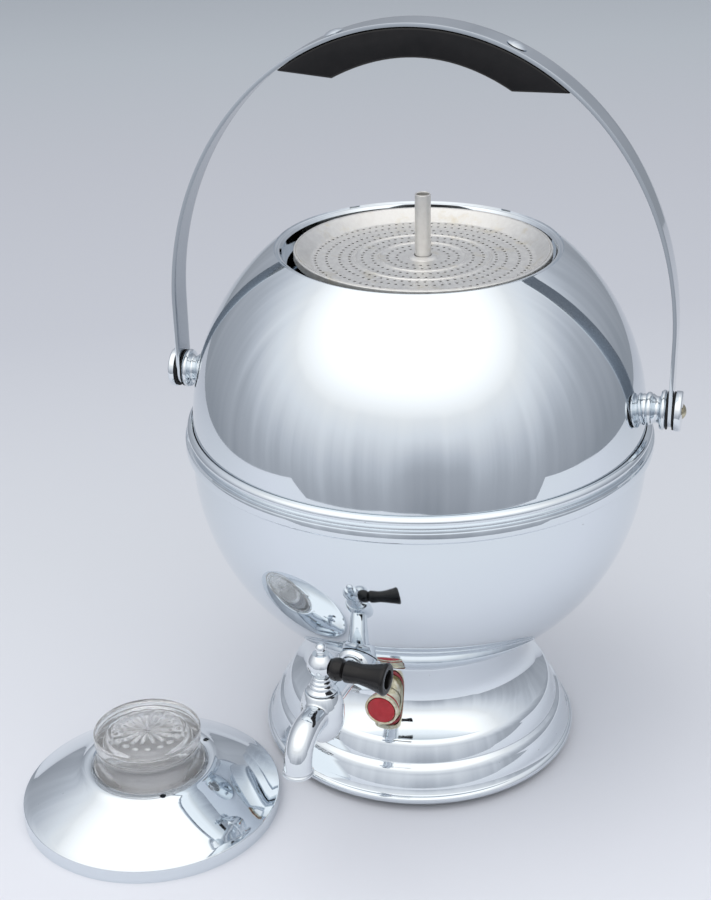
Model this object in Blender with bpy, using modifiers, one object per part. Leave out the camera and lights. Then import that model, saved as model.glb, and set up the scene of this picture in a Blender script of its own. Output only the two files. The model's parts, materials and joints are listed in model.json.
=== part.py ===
"""Ball-shaped electric coffee percolator in chromed steel.

A spherical vessel stands on a stepped pedestal that hides the heater.  A strap
bail with a black grip swings on two turned bosses, a lever spigot and a pilot
light face the front, and the glass-knobbed lid lies on the table beside the urn.
Metres, +Z up.  The origin is the centre of the flat underside of the base plate,
X runs along the bail's pivots and -Y is the front.
"""
import math

import bmesh
import bpy
from mathutils import Matrix, Vector

MM = 0.001

# Fits and fineness
SEAT_GAP = 0.3 * MM
RUNNING_GAP = 0.5 * MM
CUT_OVERRUN = 3.0 * MM
BODY_STEPS = 32
WIDE_STEPS = 24
RING_STEPS = 16
PIN_STEPS = 10
HEX_STEPS = 6
DRIP_HOLE_STEPS = 4
TUBE_SIDES_RESOLUTION = 5
FULL_TURN = 360.0
QUARTER_TURN = 90.0
FACET_TWIST = FULL_TURN / RING_STEPS / 4

# Sheet of the chromed body
SHEET = 0.9 * MM

# Spherical vessel
BOWL_RADIUS = 126.5 * MM
BOWL_CENTRE_HEIGHT = 181.0 * MM
DOME_RADIUS = 125.4 * MM
DOME_RISE = 18.0 * MM
SEAM_RISE = 13.6 * MM
BOWL_SIDE_STEPS = 5
BOWL_BOTTOM_STEPS = 2
DOME_SIDE_STEPS = 6

# Belt band round the seam, as heights above the bowl's centre and depths off the bowl
BAND_FOOT_RISE = 5.3 * MM
BAND_CHAMFER = 1.4 * MM
BAND_FACE_PROUD = 3.5 * MM
BAND_FACE_HEIGHT = 5.0 * MM
BAND_LEDGE_PROUD = 2.8 * MM
BAND_LEDGE_HEIGHT = 1.2 * MM
BAND_GROOVE_PROUD = 1.2 * MM
BAND_GROOVE_HEIGHT = 1.4 * MM
BEAD_PROUD = 2.3 * MM
BEAD_HEIGHT = 5.4 * MM
BEAD_STEPS = 4

# Neck of the dome, which takes the lid
NECK_RADIUS = 76.2 * MM
NECK_BORE_RADIUS = 73.0 * MM
NECK_LIP_HEIGHT = 297.4 * MM
LID_SEAT_DEPTH = 8.5 * MM
LID_SEAT_WIDTH = 2.6 * MM

# Pedestal, from its waist under the bowl down to the rolled foot
WAIST_RADIUS = 61.5 * MM
WAIST_HEIGHT = 58.0 * MM
WAIST_MOUTH_FLARE = 1.2 * MM
COVE_FOOT_RADIUS = 69.5 * MM
COVE_FOOT_HEIGHT = 38.0 * MM
LEDGE_RADIUS = 75.0 * MM
LEDGE_HEIGHT = 33.6 * MM
GROOVE_RADIUS = 81.4 * MM
GROOVE_HEIGHT = 20.8 * MM
LOWER_TIER_TOP_RADIUS = 83.4 * MM
LOWER_TIER_TOP_HEIGHT = 19.6 * MM
LOWER_TIER_FOOT_RADIUS = 89.6 * MM
LOWER_TIER_FOOT_HEIGHT = 5.6 * MM
FOOT_BEAD_RADIUS = 92.0 * MM
FOOT_BEAD_HEIGHT = 5.2 * MM
FOOT_BEAD_TURN = 80.0
FOOT_BEAD_STEPS = 3
COVE_STEPS = 5
TIER_STEPS = 3
UPPER_TIER_BULGE = 2.0 * MM
LOWER_TIER_BULGE = 1.4 * MM
COVE_SAG = 2.5 * MM

# Base plate, its stiffening ring, feet and screws
BASE_PLATE_THICKNESS = 1.2 * MM
BASE_RING_WIDTH = 18.0 * MM
BASE_RING_THICKNESS = 2.0 * MM
VENT_COUNT = 8
VENT_RADIUS = 3.0 * MM
VENT_CIRCLE_RADIUS = 44.0 * MM
FOOT_COUNT = 3
FOOT_NAMES = ("front", "right", "left")
FOOT_CIRCLE_RADIUS = 78.0 * MM
FOOT_TOP_RADIUS = 7.6 * MM
FOOT_TREAD_RADIUS = 6.6 * MM
FOOT_HEIGHT = 4.0 * MM
FOOT_RECESS_DEPTH = 2.2 * MM
FOOT_SCREW_RADIUS = 1.6 * MM
FOOT_SCREW_HEAD_RADIUS = 3.2 * MM
FOOT_SCREW_HEAD_HEIGHT = 1.4 * MM
FOOT_SCREW_TAIL = 1.5 * MM

# Heater well in the bottom of the bowl, its band heater and thermostat
WELL_RADIUS = 24.0 * MM
WELL_FLOOR_HEIGHT = 26.0 * MM
WELL_FLANGE_WIDTH = 6.0 * MM
HEATER_WIDTH = 8.0 * MM
HEATER_HEIGHT = 15.0 * MM
HEATER_RISE = 3.0 * MM
THERMOSTAT_RADIUS = 9.0 * MM
THERMOSTAT_CAP_RADIUS = 6.5 * MM
THERMOSTAT_BODY_HEIGHT = 8.0 * MM
THERMOSTAT_CAP_HEIGHT = 3.0 * MM

# Pilot light under the spigot
PILOT_TURN = 3.7
PILOT_HEIGHT = 49.5 * MM
PILOT_REACH = 74.0 * MM
PILOT_ROOT = 49.0 * MM
PILOT_TUBE_RADIUS = 7.6 * MM
PILOT_TUBE_WALL = 0.7 * MM
PILOT_RIM_RADIUS = 9.6 * MM
PILOT_RIM_LENGTH = 4.4 * MM
PILOT_WINDOW_RADIUS = 7.8 * MM
PILOT_LIP_THICKNESS = 0.8 * MM
LENS_SKIRT_LENGTH = 3.0 * MM
LENS_CROWN = 1.0 * MM
PILOT_NUT_WIDTH = 2.6 * MM
PILOT_NUT_THICKNESS = 3.0 * MM
BULB_RADIUS = 3.4 * MM
BULB_LENGTH = 13.0 * MM
BULB_BASE_THICKNESS = 3.0 * MM
BULB_STEPS = 4

# Power inlet at the back of the pedestal
INLET_HEIGHT = 51.4 * MM
INLET_WIDTH = 34.0 * MM
INLET_DEPTH = 18.0 * MM
INLET_WALL = 1.6 * MM
INLET_ROOT = 50.0 * MM
INLET_REACH = 76.0 * MM
INLET_CORNER = 3.0 * MM
INLET_CORNER_STEPS = 2
INSULATOR_THICKNESS = 6.0 * MM
INLET_PIN_RADIUS = 2.4 * MM
INLET_PIN_SPACING = 17.5 * MM
INLET_PIN_SETBACK = 2.5 * MM
INLET_PIN_CHAMFER = 0.6 * MM
INLET_PIN_TAIL = 4.0 * MM
INLET_PIN_TAIL_RADIUS = 1.9 * MM

# Spigot
SPIGOT_TURN = 7.2
SPIGOT_REACH = 143.5 * MM
SHANK_HEIGHT = 95.0 * MM
SHANK_RADIUS = 6.5 * MM
SHANK_BORE_RADIUS = 4.0 * MM
SHANK_ROOT = 64.0 * MM
COLLAR_RADIUS = 9.6 * MM
COLLAR_FRONT_REACH = 104.0 * MM
COLLAR_CHAMFER = 1.6 * MM
INNER_WASHER_RADIUS = 8.6 * MM
INNER_WASHER_REACH = 75.5 * MM
LOCKNUT_RADIUS = 11.0 * MM
LOCKNUT_THICKNESS = 5.5 * MM
BARREL_RADIUS = 11.4 * MM
BARREL_SHOULDER_RADIUS = 8.8 * MM
BARREL_TOP_HEIGHT = 105.2 * MM
BARREL_FLOOR_HEIGHT = 76.0 * MM
BARREL_TAIL_RADIUS = 4.6 * MM
BARREL_BELLY_RISE_SHARE = 0.55
PLUG_TOP_RADIUS = 6.2 * MM
PLUG_TAIL_RADIUS = 5.4 * MM
PLUG_FLOOR_RISE = 3.2 * MM
PLUG_STEM_RADIUS = 2.8 * MM
PLUG_STEM_HEIGHT = 11.4 * MM
SPOUT_RADIUS = 7.2 * MM
SPOUT_BORE_RADIUS = 5.0 * MM
SPOUT_OVERHANG = 32.0 * MM
SPOUT_BEND_RADIUS = 14.0 * MM
SPOUT_TIP_HEIGHT = 76.0 * MM
SPOUT_LIP_PROUD = 0.9 * MM
SPOUT_LIP_HEIGHT = 2.0 * MM
SPOUT_BEND_STEPS = 6
BONNET_HEIGHT = 8.8 * MM
BONNET_RIM_RADIUS = 7.9 * MM
BONNET_RIM_HEIGHT = 2.0 * MM
BONNET_RINGS = 3
BONNET_RING_RADIUS = 4.4 * MM
BONNET_RING_SPREAD = 0.8 * MM
BONNET_RING_PROUD = 0.6 * MM
ONION_RADIUS = 7.3 * MM
ONION_HEIGHT = 12.8 * MM
ONION_NECK_RADIUS = 2.2 * MM
ONION_STEPS = 5
ONION_END_SHARE = 0.6
FINIAL_RADIUS = 2.9 * MM
FINIAL_UNDERCUT = 50.0
FINIAL_STEPS = 4
LEVER_RISE = 5.3 * MM
LEVER_SEAT_REACH = 5.3 * MM
LEVER_SEAT_RADIUS = 5.6 * MM
LEVER_REACH = 36.4 * MM
LEVER_BULB_RADIUS = 6.1 * MM
LEVER_BULB_LENGTH = 7.1 * MM
LEVER_BULB_HALF_ANGLE = 30.0
LEVER_GROOVE_RADIUS = 4.4 * MM
LEVER_SHOULDER_RADIUS = 5.8 * MM
LEVER_WAIST_RADIUS = 5.2 * MM
LEVER_WAIST_SHARE = 0.35
LEVER_FLARE_SAG = 0.4 * MM
LEVER_END_RADIUS = 8.5 * MM
LEVER_END_RECESS_RADIUS = 3.6 * MM
LEVER_END_RECESS_DEPTH = 4.0 * MM
STUD_RADIUS = 1.6 * MM
STUD_LENGTH = 16.0 * MM
STUD_ROOT = 1.5 * MM

# Bail: straight legs below an elliptical arch
PIVOT_RISE = 33.6 * MM
BAIL_HALF_SPAN = 138.0 * MM
BAIL_LEG_HEIGHT = 40.0 * MM
BAIL_ARCH_HEIGHT = 160.6 * MM
STRAP_WIDTH = 18.0 * MM
STRAP_THICKNESS = 2.0 * MM
ARCH_STEPS = 32
STRAP_END_STEPS = 8
GRIP_OFFSET = 3.2 * MM
GRIP_HALF_LENGTH = 76.5 * MM
GRIP_HOLD_HALF_LENGTH = 46.7 * MM
GRIP_HOLD_DROP = 16.5 * MM
GRIP_CORNER_DROP = 20.6 * MM
GRIP_EDGE_BEVEL = 1.2 * MM
GRIP_EDGE_ANGLE = 50.0
GRIP_STEPS = 12
GRIP_SCREW_PLACE = 47.6 * MM
GRIP_SCREW_RADIUS = 1.9 * MM
GRIP_SCREW_HEAD_RADIUS = 5.6 * MM
GRIP_SCREW_HEAD_HEIGHT = 1.6 * MM
GRIP_SCREW_DEPTH = 9.0 * MM
DOMED_HEAD_STEPS = 3

# Pivot hardware, from the dome outwards
BOSS_BEAD_RADIUS = 9.1 * MM
BOSS_BEAD_WIDTH = 3.9 * MM
BOSS_WAIST_RADIUS = 7.0 * MM
BOSS_CUP_RADIUS = 10.9 * MM
BOSS_CUP_WIDTH = 2.9 * MM
BOSS_ROOT_DEPTH = 3.5 * MM
BOSS_CURVE_STEPS = 4
FIBRE_WASHER_THICKNESS = 0.8 * MM
FIBRE_WASHER_RADIUS = 10.4 * MM
CAP_THICKNESS = 3.6 * MM
CAP_RADIUS = 11.0 * MM
CAP_EDGE = 1.2 * MM
PIVOT_SCREW_RADIUS = 2.2 * MM
PIVOT_SCREW_HEAD_RADIUS = 4.1 * MM
PIVOT_SCREW_HEAD_HEIGHT = 1.9 * MM
PIVOT_SCREW_DEPTH = 6.0 * MM
ANCHOR_SCREW_HEAD_RADIUS = 4.6 * MM
ANCHOR_SCREW_HEAD_HEIGHT = 2.4 * MM
ANCHOR_SCREW_DEPTH = 3.2 * MM

# Percolating pump, which stands a little off centre in its loose well
PUMP_SHIFT_X = 2.3 * MM
PUMP_SHIFT_Y = 0.5 * MM
STEM_RADIUS = 4.25 * MM
STEM_WALL = 0.8 * MM
STEM_TOP_HEIGHT = 325.8 * MM
STEM_FLANGE_RADIUS = 7.0 * MM
STEM_FLANGE_THICKNESS = 1.0 * MM
STEM_FOOT_RISE = 6.0 * MM
BASKET_COLLAR_RADIUS = 8.0 * MM
BASKET_COLLAR_THICKNESS = 1.6 * MM
BELL_RADIUS = 20.0 * MM
BELL_CROWN_RADIUS = 11.0 * MM
BELL_HEIGHT = 15.0 * MM
BELL_SLEEVE_HEIGHT = 9.0 * MM
BELL_PORT_COUNT = 4
BELL_PORT_RADIUS = 2.2 * MM
VALVE_RADIUS = 9.0 * MM
VALVE_THICKNESS = 0.8 * MM

# Coffee basket and the spreader dish that closes it
BASKET_RADIUS = 63.0 * MM
BASKET_FLOOR_HEIGHT = 226.0 * MM
BASKET_CORNER = 4.0 * MM
BASKET_ROLL_PROUD = 1.6 * MM
BASKET_ROLL_HEIGHT = 2.4 * MM
ALUMINIUM_SHEET = 0.8 * MM
BASKET_SLEEVE_DROP = 6.0 * MM
BASKET_HOLE_COUNTS = (5, 8, 11)
BASKET_HOLE_RING_RADII = (18.0 * MM, 32.0 * MM, 46.0 * MM)
BASKET_HOLE_RADIUS = 1.2 * MM
SPREADER_RADIUS = 69.05 * MM
SPREADER_TOP_HEIGHT = 296.9 * MM
SPREADER_DISH_DEPTH = 6.0 * MM
SPREADER_FLOOR_RADIUS = 59.8 * MM
SPREADER_RIM_WIDTH = 2.2 * MM
SPREADER_SKIRT_HEIGHT = 4.0 * MM
SPREADER_BOSS_RADIUS = 6.6 * MM
SPREADER_BOSS_HEIGHT = 1.4 * MM
SPREADER_RIDGE_RADII = (23.3 * MM, 36.3 * MM)
SPREADER_RIDGE_HEIGHT = 0.6 * MM
SPREADER_RIDGE_WIDTH = 2.0 * MM
SPREADER_HOLE_RADIUS = 0.8 * MM
SPREADER_HOLE_COUNTS = (6, 9, 12, 15)
SPREADER_HOLE_RING_RADII = (16.5 * MM, 30.0 * MM, 42.5 * MM, 53.5 * MM)

# Lid, lying on the table in front of the left side
LID_PLACE_X = -129.0 * MM
LID_PLACE_Y = -114.0 * MM
LID_CLEARANCE = 0.8 * MM
LID_SHEET = 0.7 * MM
LID_SKIRT_HEIGHT = 7.8 * MM
LID_SHOULDER = 1.2 * MM
LID_COLLAR_RADIUS = 39.0 * MM
LID_COLLAR_HEIGHT = 28.0 * MM
LID_COLLAR_WIDTH = 2.4 * MM
LID_COLLAR_DROP = 1.4 * MM
LID_CONE_BULGE = 0.8 * MM
LID_CONE_STEPS = 3
LID_VENT_COUNT = 3
LID_VENT_RADIUS = 0.9 * MM
KNOB_FLANGE_RADIUS = 34.0 * MM
KNOB_FLANGE_THICKNESS = 1.6 * MM
KNOB_NECK_RADIUS = 29.4 * MM
KNOB_NECK_DROP = 6.4 * MM
KNOB_WAIST_RADIUS = 27.8 * MM
KNOB_WAIST_RISE = 11.8 * MM
KNOB_RING_RADIUS = 28.6 * MM
KNOB_RING_HEIGHT = 1.8 * MM
KNOB_GROOVE_HEIGHT = 1.6 * MM
KNOB_DISC_RADIUS = 29.7 * MM
KNOB_DISC_HEIGHT = 6.9 * MM
KNOB_DISC_EDGE = 1.0 * MM
KNOB_STAR_RADIUS = 20.0 * MM
KNOB_STAR_DEPTH = 1.6 * MM
KNOB_STAR_RAYS = 10
KNOB_RAY_DEPTH = 0.8 * MM
KNOB_RAY_WIDTH = 1.8 * MM
KNOB_RAY_INNER_SHARE = 0.25
KNOB_RAY_OUTER_SHARE = 0.9
KNOB_WALL = 3.2 * MM
KNOB_BELL_SAG = 1.2 * MM
KNOB_BELL_STEPS = 3
LUG_COUNT = 3
LUG_WIDTH = 8.0 * MM
LUG_PROUD = 2.6 * MM
LUG_HEIGHT = 2.0 * MM
RETAINER_THICKNESS = 1.6 * MM
RETAINER_WIDTH = 4.0 * MM

# Places that follow from the sizes above
FLOOR_LEVEL = -FOOT_HEIGHT - SEAT_GAP
DOME_CENTRE_HEIGHT = BOWL_CENTRE_HEIGHT + DOME_RISE
SEAM_HEIGHT = BOWL_CENTRE_HEIGHT + SEAM_RISE
PIVOT_HEIGHT = BOWL_CENTRE_HEIGHT + PIVOT_RISE
SPOUT_REACH = SPIGOT_REACH + SPOUT_OVERHANG
BONNET_FOOT_HEIGHT = BARREL_TOP_HEIGHT + SEAT_GAP
ONION_FOOT_HEIGHT = BONNET_FOOT_HEIGHT + BONNET_HEIGHT + SEAT_GAP
BELL_FOOT_HEIGHT = WELL_FLOOR_HEIGHT + SHEET + SEAT_GAP
STEM_FOOT_HEIGHT = BELL_FOOT_HEIGHT + STEM_FOOT_RISE
STEM_BORE_RADIUS = STEM_RADIUS - STEM_WALL
STEM_HOLE_RADIUS = STEM_RADIUS + RUNNING_GAP
SPREADER_FLOOR_HEIGHT = SPREADER_TOP_HEIGHT - SPREADER_DISH_DEPTH
LID_RADIUS = NECK_BORE_RADIUS - LID_CLEARANCE


def make_collection(name):
    """A collection linked to the scene."""
    collection = bpy.data.collections.new(name)
    bpy.context.scene.collection.children.link(collection)
    return collection


def make_material(name, colour, roughness, metallic, alpha=1.0):
    """A Principled material of one finish."""
    material = bpy.data.materials.new(name)
    material.use_nodes = True
    shader = material.node_tree.nodes["Principled BSDF"]
    shader.inputs["Base Color"].default_value = (*colour, 1.0)
    shader.inputs["Roughness"].default_value = roughness
    shader.inputs["Metallic"].default_value = metallic
    shader.inputs["Alpha"].default_value = alpha
    material.diffuse_color = (*colour, alpha)
    return material


def clear_scene():
    """Remove every object that the new scene came with."""
    for item in list(bpy.data.objects):
        bpy.data.objects.remove(item, do_unlink=True)


clear_scene()
PARTS = make_collection("coffee_percolator")
CUTTERS = make_collection("cutters")

CHROME = ("chromed_steel", (0.78, 0.80, 0.83), 0.06, 1.0)
BRIGHT_CHROME = ("chromed_brass", (0.80, 0.81, 0.84), 0.05, 1.0)
ALUMINIUM = ("satin_aluminium", (0.80, 0.79, 0.76), 0.38, 1.0)
BRASS = ("tarnished_brass", (0.66, 0.60, 0.46), 0.34, 1.0)
NICKEL = ("nickelled_brass", (0.74, 0.72, 0.62), 0.22, 1.0)
ZINC = ("zinc_plated_steel", (0.56, 0.57, 0.58), 0.42, 1.0)
BAKELITE = ("black_bakelite", (0.016, 0.015, 0.016), 0.32, 0.0)
FIBRE = ("black_fibre", (0.02, 0.02, 0.02), 0.7, 0.0)
RUBBER = ("black_rubber", (0.03, 0.03, 0.03), 0.8, 0.0)
RED_GLASS = ("red_glass", (0.62, 0.02, 0.03), 0.12, 0.0)
CLEAR_GLASS = ("clear_glass", (0.92, 0.94, 0.93), 0.03, 0.0)
CERAMIC = ("white_ceramic", (0.82, 0.80, 0.75), 0.5, 0.0)


def finish(item, look):
    """Give the object a material of its own, named for the object."""
    name, colour, roughness, metallic = look
    item.data.materials.clear()
    item.data.materials.append(make_material(item.name + "_" + name, colour, roughness, metallic))


def add_mesh(name, mesh, collection, parent=None, location=(0, 0, 0), rotation=(0, 0, 0)):
    """An object of the mesh, placed in its parent's frame; rotation in degrees."""
    item = bpy.data.objects.new(name, mesh)
    collection.objects.link(item)
    item.parent = parent
    item.location = location
    item.rotation_euler = [math.radians(angle) for angle in rotation]
    return item


def as_cutter(item):
    """Hide a guide or cutter from the model."""
    item.hide_render = True
    item.display_type = "WIRE"
    return item


def frame(name, location=(0, 0, 0), rotation=(0, 0, 0)):
    """An empty that carries a group of pieces; rotation in degrees."""
    empty = bpy.data.objects.new(name, None)
    CUTTERS.objects.link(empty)
    empty.location = location
    empty.rotation_euler = [math.radians(angle) for angle in rotation]
    return empty


def arc(centre_r, centre_z, radius, start, end, steps):
    """Points of a circular arc in an outline; degrees, 0 is outwards and 90 is up."""
    points = []
    for step in range(steps + 1):
        angle = math.radians(start + (end - start) * step / steps)
        points.append((centre_r + radius * math.cos(angle), centre_z + radius * math.sin(angle)))
    return points


def bow(start, end, rise, steps):
    """Points between start and end that swell to the left of the way by rise (negative: to the right)."""
    (r0, z0), (r1, z1) = start, end
    length = math.hypot(r1 - r0, z1 - z0)
    normal = ((z1 - z0) / length, -(r1 - r0) / length)
    points = []
    for step in range(1, steps):
        share = step / steps
        lift = 4.0 * rise * share * (1.0 - share)
        points.append((r0 + (r1 - r0) * share - normal[0] * lift, z0 + (z1 - z0) * share - normal[1] * lift))
    return points


def polar_angle(radius, sphere_radius):
    """Angle above the equator, in degrees, where a sphere is this far from its axis."""
    return math.degrees(math.acos(radius / sphere_radius))


def bowl_height(radius, inset):
    """Height of the bowl's lower surface, moved inwards by inset, at a distance from the axis."""
    shell = BOWL_RADIUS - inset
    return BOWL_CENTRE_HEIGHT - math.sqrt(shell * shell - radius * radius)


def turned_mesh(name, outline):
    """Outline in the XZ plane as a closed chain of edges, left open along the axis."""
    mesh = bpy.data.meshes.new(name)
    count = len(outline)
    edges = []
    for index in range(count):
        following = (index + 1) % count
        if outline[index][0] > 0 or outline[following][0] > 0:
            edges.append((index, following))
    mesh.from_pydata([(radius, 0, height) for radius, height in outline], edges, [])
    return mesh


def turned(name, outline, look, steps=RING_STEPS, parent=None, location=(0, 0, 0), rotation=(0, 0, 0)):
    """A turned piece: the outline runs down its outer side and back up its inner side."""
    collection = PARTS if look else CUTTERS
    item = add_mesh(name, turned_mesh(name, outline), collection, parent, location, rotation)
    screw = item.modifiers.new("Turn", "SCREW")
    screw.angle = math.radians(FULL_TURN)
    screw.steps = steps
    screw.render_steps = steps
    screw.use_merge_vertices = True
    screw.merge_threshold = SEAT_GAP / 100
    screw.use_smooth_shade = False
    if look:
        finish(item, look)
    else:
        as_cutter(item)
    return item


def rod(name, radius, start, end, look, **place):
    """A plain round bar from start to end along its own Z."""
    outline = [(0, end), (radius, end), (radius, start), (0, start)]
    return turned(name, outline, look, **place)


def combine(item, other, operation):
    """Boolean of two closed meshes, kept as a modifier."""
    boolean = item.modifiers.new(operation.title() + "_" + other.name, "BOOLEAN")
    boolean.operation = operation
    boolean.solver = "EXACT"
    boolean.object = other


def cut(item, cutter):
    """Take the cutter away from the piece."""
    combine(item, cutter, "DIFFERENCE")


def fuse(item, other):
    """Join a guide solid to the piece."""
    combine(item, other, "UNION")


def cluster(name, places, radius, start, end, sides, parent=None):
    """One cutter of many upright round pins, twisted so that no corner falls on an edge of the piece."""
    mesh = bpy.data.meshes.new(name)
    shape = bmesh.new()
    twist = Matrix.Rotation(math.radians(FULL_TURN / sides / 4), 4, "Z")
    for x, y in places:
        bmesh.ops.create_cone(
            shape,
            cap_ends=True,
            segments=sides,
            radius1=radius,
            radius2=radius,
            depth=end - start,
            matrix=Matrix.Translation((x, y, (start + end) / 2)) @ twist,
        )
    shape.to_mesh(mesh)
    shape.free()
    return as_cutter(add_mesh(name, mesh, CUTTERS, parent))


def ring_places(counts, radii):
    """Centres of holes on rings, a count and a radius for each, every ring half a step on from the last."""
    places = []
    for number, (count, radius) in enumerate(zip(counts, radii)):
        for index in range(count):
            angle = math.radians(FULL_TURN) * (index + number / 2) / count
            places.append((radius * math.cos(angle), radius * math.sin(angle)))
    return places


def block(name, size, look, bevel=0, bevel_steps=1, parent=None, location=(0, 0, 0)):
    """A box with its upright edges rounded along Y."""
    mesh = bpy.data.meshes.new(name)
    shape = bmesh.new()
    bmesh.ops.create_cube(shape, size=1.0, matrix=Matrix.Diagonal((*size, 1.0)))
    if bevel:
        along = [edge for edge in shape.edges if abs(edge.verts[0].co.y - edge.verts[1].co.y) > size[1] / 2]
        bmesh.ops.bevel(
            shape, geom=along, offset=bevel, segments=bevel_steps, profile=0.5, affect="EDGES"
        )
    shape.to_mesh(mesh)
    shape.free()
    item = add_mesh(name, mesh, PARTS if look else CUTTERS, parent, location)
    if look:
        finish(item, look)
    else:
        as_cutter(item)
    return item


def curve_to_mesh(name, curve, look, parent, location=(0, 0, 0), rotation=(0, 0, 0)):
    """Turn a curve's solid into a welded mesh object."""
    source = bpy.data.objects.new(name + "_curve", curve)
    CUTTERS.objects.link(source)
    bpy.context.view_layer.update()
    evaluated = source.evaluated_get(bpy.context.evaluated_depsgraph_get())
    mesh = bpy.data.meshes.new_from_object(evaluated)
    mesh.name = name
    shape = bmesh.new()
    shape.from_mesh(mesh)
    bmesh.ops.remove_doubles(shape, verts=shape.verts, dist=SEAT_GAP / 100)
    bmesh.ops.recalc_face_normals(shape, faces=shape.faces)
    shape.to_mesh(mesh)
    shape.free()
    bpy.data.objects.remove(source, do_unlink=True)
    item = add_mesh(name, mesh, PARTS if look else CUTTERS, parent, location, rotation)
    if look:
        finish(item, look)
    else:
        as_cutter(item)
    return item


def plate(name, points, thickness, look, parent=None, location=(0, 0, 0), rotation=(0, 0, 0)):
    """A flat outline in the piece's own XY plane, with its thickness either side."""
    curve = bpy.data.curves.new(name, "CURVE")
    curve.dimensions = "2D"
    curve.fill_mode = "BOTH"
    curve.extrude = thickness / 2
    spline = curve.splines.new("POLY")
    spline.points.add(len(points) - 1)
    for target, (x, y) in zip(spline.points, points):
        target.co = (x, y, 0, 1)
    spline.use_cyclic_u = True
    return curve_to_mesh(name, curve, look, parent, location, rotation)


def tube(name, points, radius, look, parent=None):
    """A round bar along a path, with flat ends."""
    curve = bpy.data.curves.new(name, "CURVE")
    curve.dimensions = "3D"
    curve.bevel_depth = radius
    curve.bevel_resolution = TUBE_SIDES_RESOLUTION
    curve.use_fill_caps = True
    spline = curve.splines.new("POLY")
    spline.points.add(len(points) - 1)
    for target, point in zip(spline.points, points):
        target.co = (*point, 1)
    return curve_to_mesh(name, curve, look, parent)


# Spherical vessel

def bowl_arc(radius):
    """Bowl's arc at a radius: from the equator through the pedestal's rim down to the well's seat."""
    rest = -polar_angle(WAIST_RADIUS + WAIST_MOUTH_FLARE, BOWL_RADIUS)
    seat = -polar_angle(WELL_RADIUS + WELL_FLANGE_WIDTH + RUNNING_GAP, BOWL_RADIUS - SHEET)
    side = arc(0, BOWL_CENTRE_HEIGHT, radius, 0, rest, BOWL_SIDE_STEPS)
    bottom = arc(0, BOWL_CENTRE_HEIGHT, radius, rest, seat, BOWL_BOTTOM_STEPS)
    return side + bottom[1:]


def dome_arc(radius):
    """Dome's arc at a radius: from the neck's shoulder down to the equator."""
    shoulder = polar_angle(NECK_RADIUS + SHEET, DOME_RADIUS)
    return arc(0, DOME_CENTRE_HEIGHT, radius, shoulder, 0, DOME_SIDE_STEPS)


def bowl_envelope(name, outset):
    """Solid of the bowl's shape, grown by outset, that fits pieces to the ball."""
    radius = BOWL_RADIUS + outset
    outline = [(0, SEAM_HEIGHT), (radius, SEAM_HEIGHT)] + bowl_arc(radius)
    outline.append((0, outline[-1][1]))
    return turned(name, outline, None, BODY_STEPS)


def dome_envelope(name, outset):
    """Solid of the dome's shape, grown by outset, that fits pieces to the ball."""
    radius = DOME_RADIUS + outset
    outline = dome_arc(radius) + [(radius, SEAM_HEIGHT), (0, SEAM_HEIGHT)]
    outline.insert(0, (0, outline[0][1]))
    return turned(name, outline, None, BODY_STEPS)


def make_bowl(spigot_frame):
    """Lower half of the ball, open at the heater well and drilled for the spigot."""
    inner = BOWL_RADIUS - SHEET
    mouth = WELL_RADIUS + SEAT_GAP
    outline = [(BOWL_RADIUS, SEAM_HEIGHT)] + bowl_arc(BOWL_RADIUS)
    outline += [(mouth, bowl_height(mouth, 0)), (mouth, bowl_height(mouth, SHEET))]
    outline += bowl_arc(inner)[::-1]
    outline.append((inner, SEAM_HEIGHT))
    bowl = turned("lower_bowl", outline, CHROME, BODY_STEPS)
    drill = rod(
        "shank_drill",
        SHANK_RADIUS + SEAT_GAP,
        SHANK_ROOT,
        COLLAR_FRONT_REACH + CUT_OVERRUN,
        None,
        parent=spigot_frame,
        location=(0, 0, SHANK_HEIGHT),
        rotation=(QUARTER_TURN, FACET_TWIST, 0),
    )
    cut(bowl, drill)


def make_dome():
    """Upper half of the ball with a sunk lip and a ledge inside the neck for the lid."""
    inner = DOME_RADIUS - SHEET
    foot = SEAM_HEIGHT + SEAT_GAP
    sleeve = NECK_BORE_RADIUS + SHEET
    seat = NECK_LIP_HEIGHT - LID_SEAT_DEPTH
    outline = [(NECK_BORE_RADIUS, NECK_LIP_HEIGHT), (NECK_RADIUS, NECK_LIP_HEIGHT)]
    outline += dome_arc(DOME_RADIUS) + [(DOME_RADIUS, foot), (inner, foot)] + dome_arc(inner)[::-1]
    outline += [(sleeve, NECK_LIP_HEIGHT - SHEET), (sleeve, seat - SHEET)]
    outline += [(NECK_BORE_RADIUS - LID_SEAT_WIDTH, seat - SHEET), (NECK_BORE_RADIUS - LID_SEAT_WIDTH, seat)]
    outline.append((NECK_BORE_RADIUS, seat))
    dome = turned("upper_dome", outline, CHROME, BODY_STEPS)
    for side, sign in (("left", -1), ("right", 1)):
        hole = rod(
            "anchor_drill_" + side,
            PIVOT_SCREW_RADIUS + SEAT_GAP,
            DOME_RADIUS / 2,
            DOME_RADIUS + CUT_OVERRUN,
            None,
            steps=PIN_STEPS,
            location=(0, 0, PIVOT_HEIGHT),
            rotation=(QUARTER_TURN, FACET_TWIST, sign * QUARTER_TURN),
        )
        cut(dome, hole)


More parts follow.
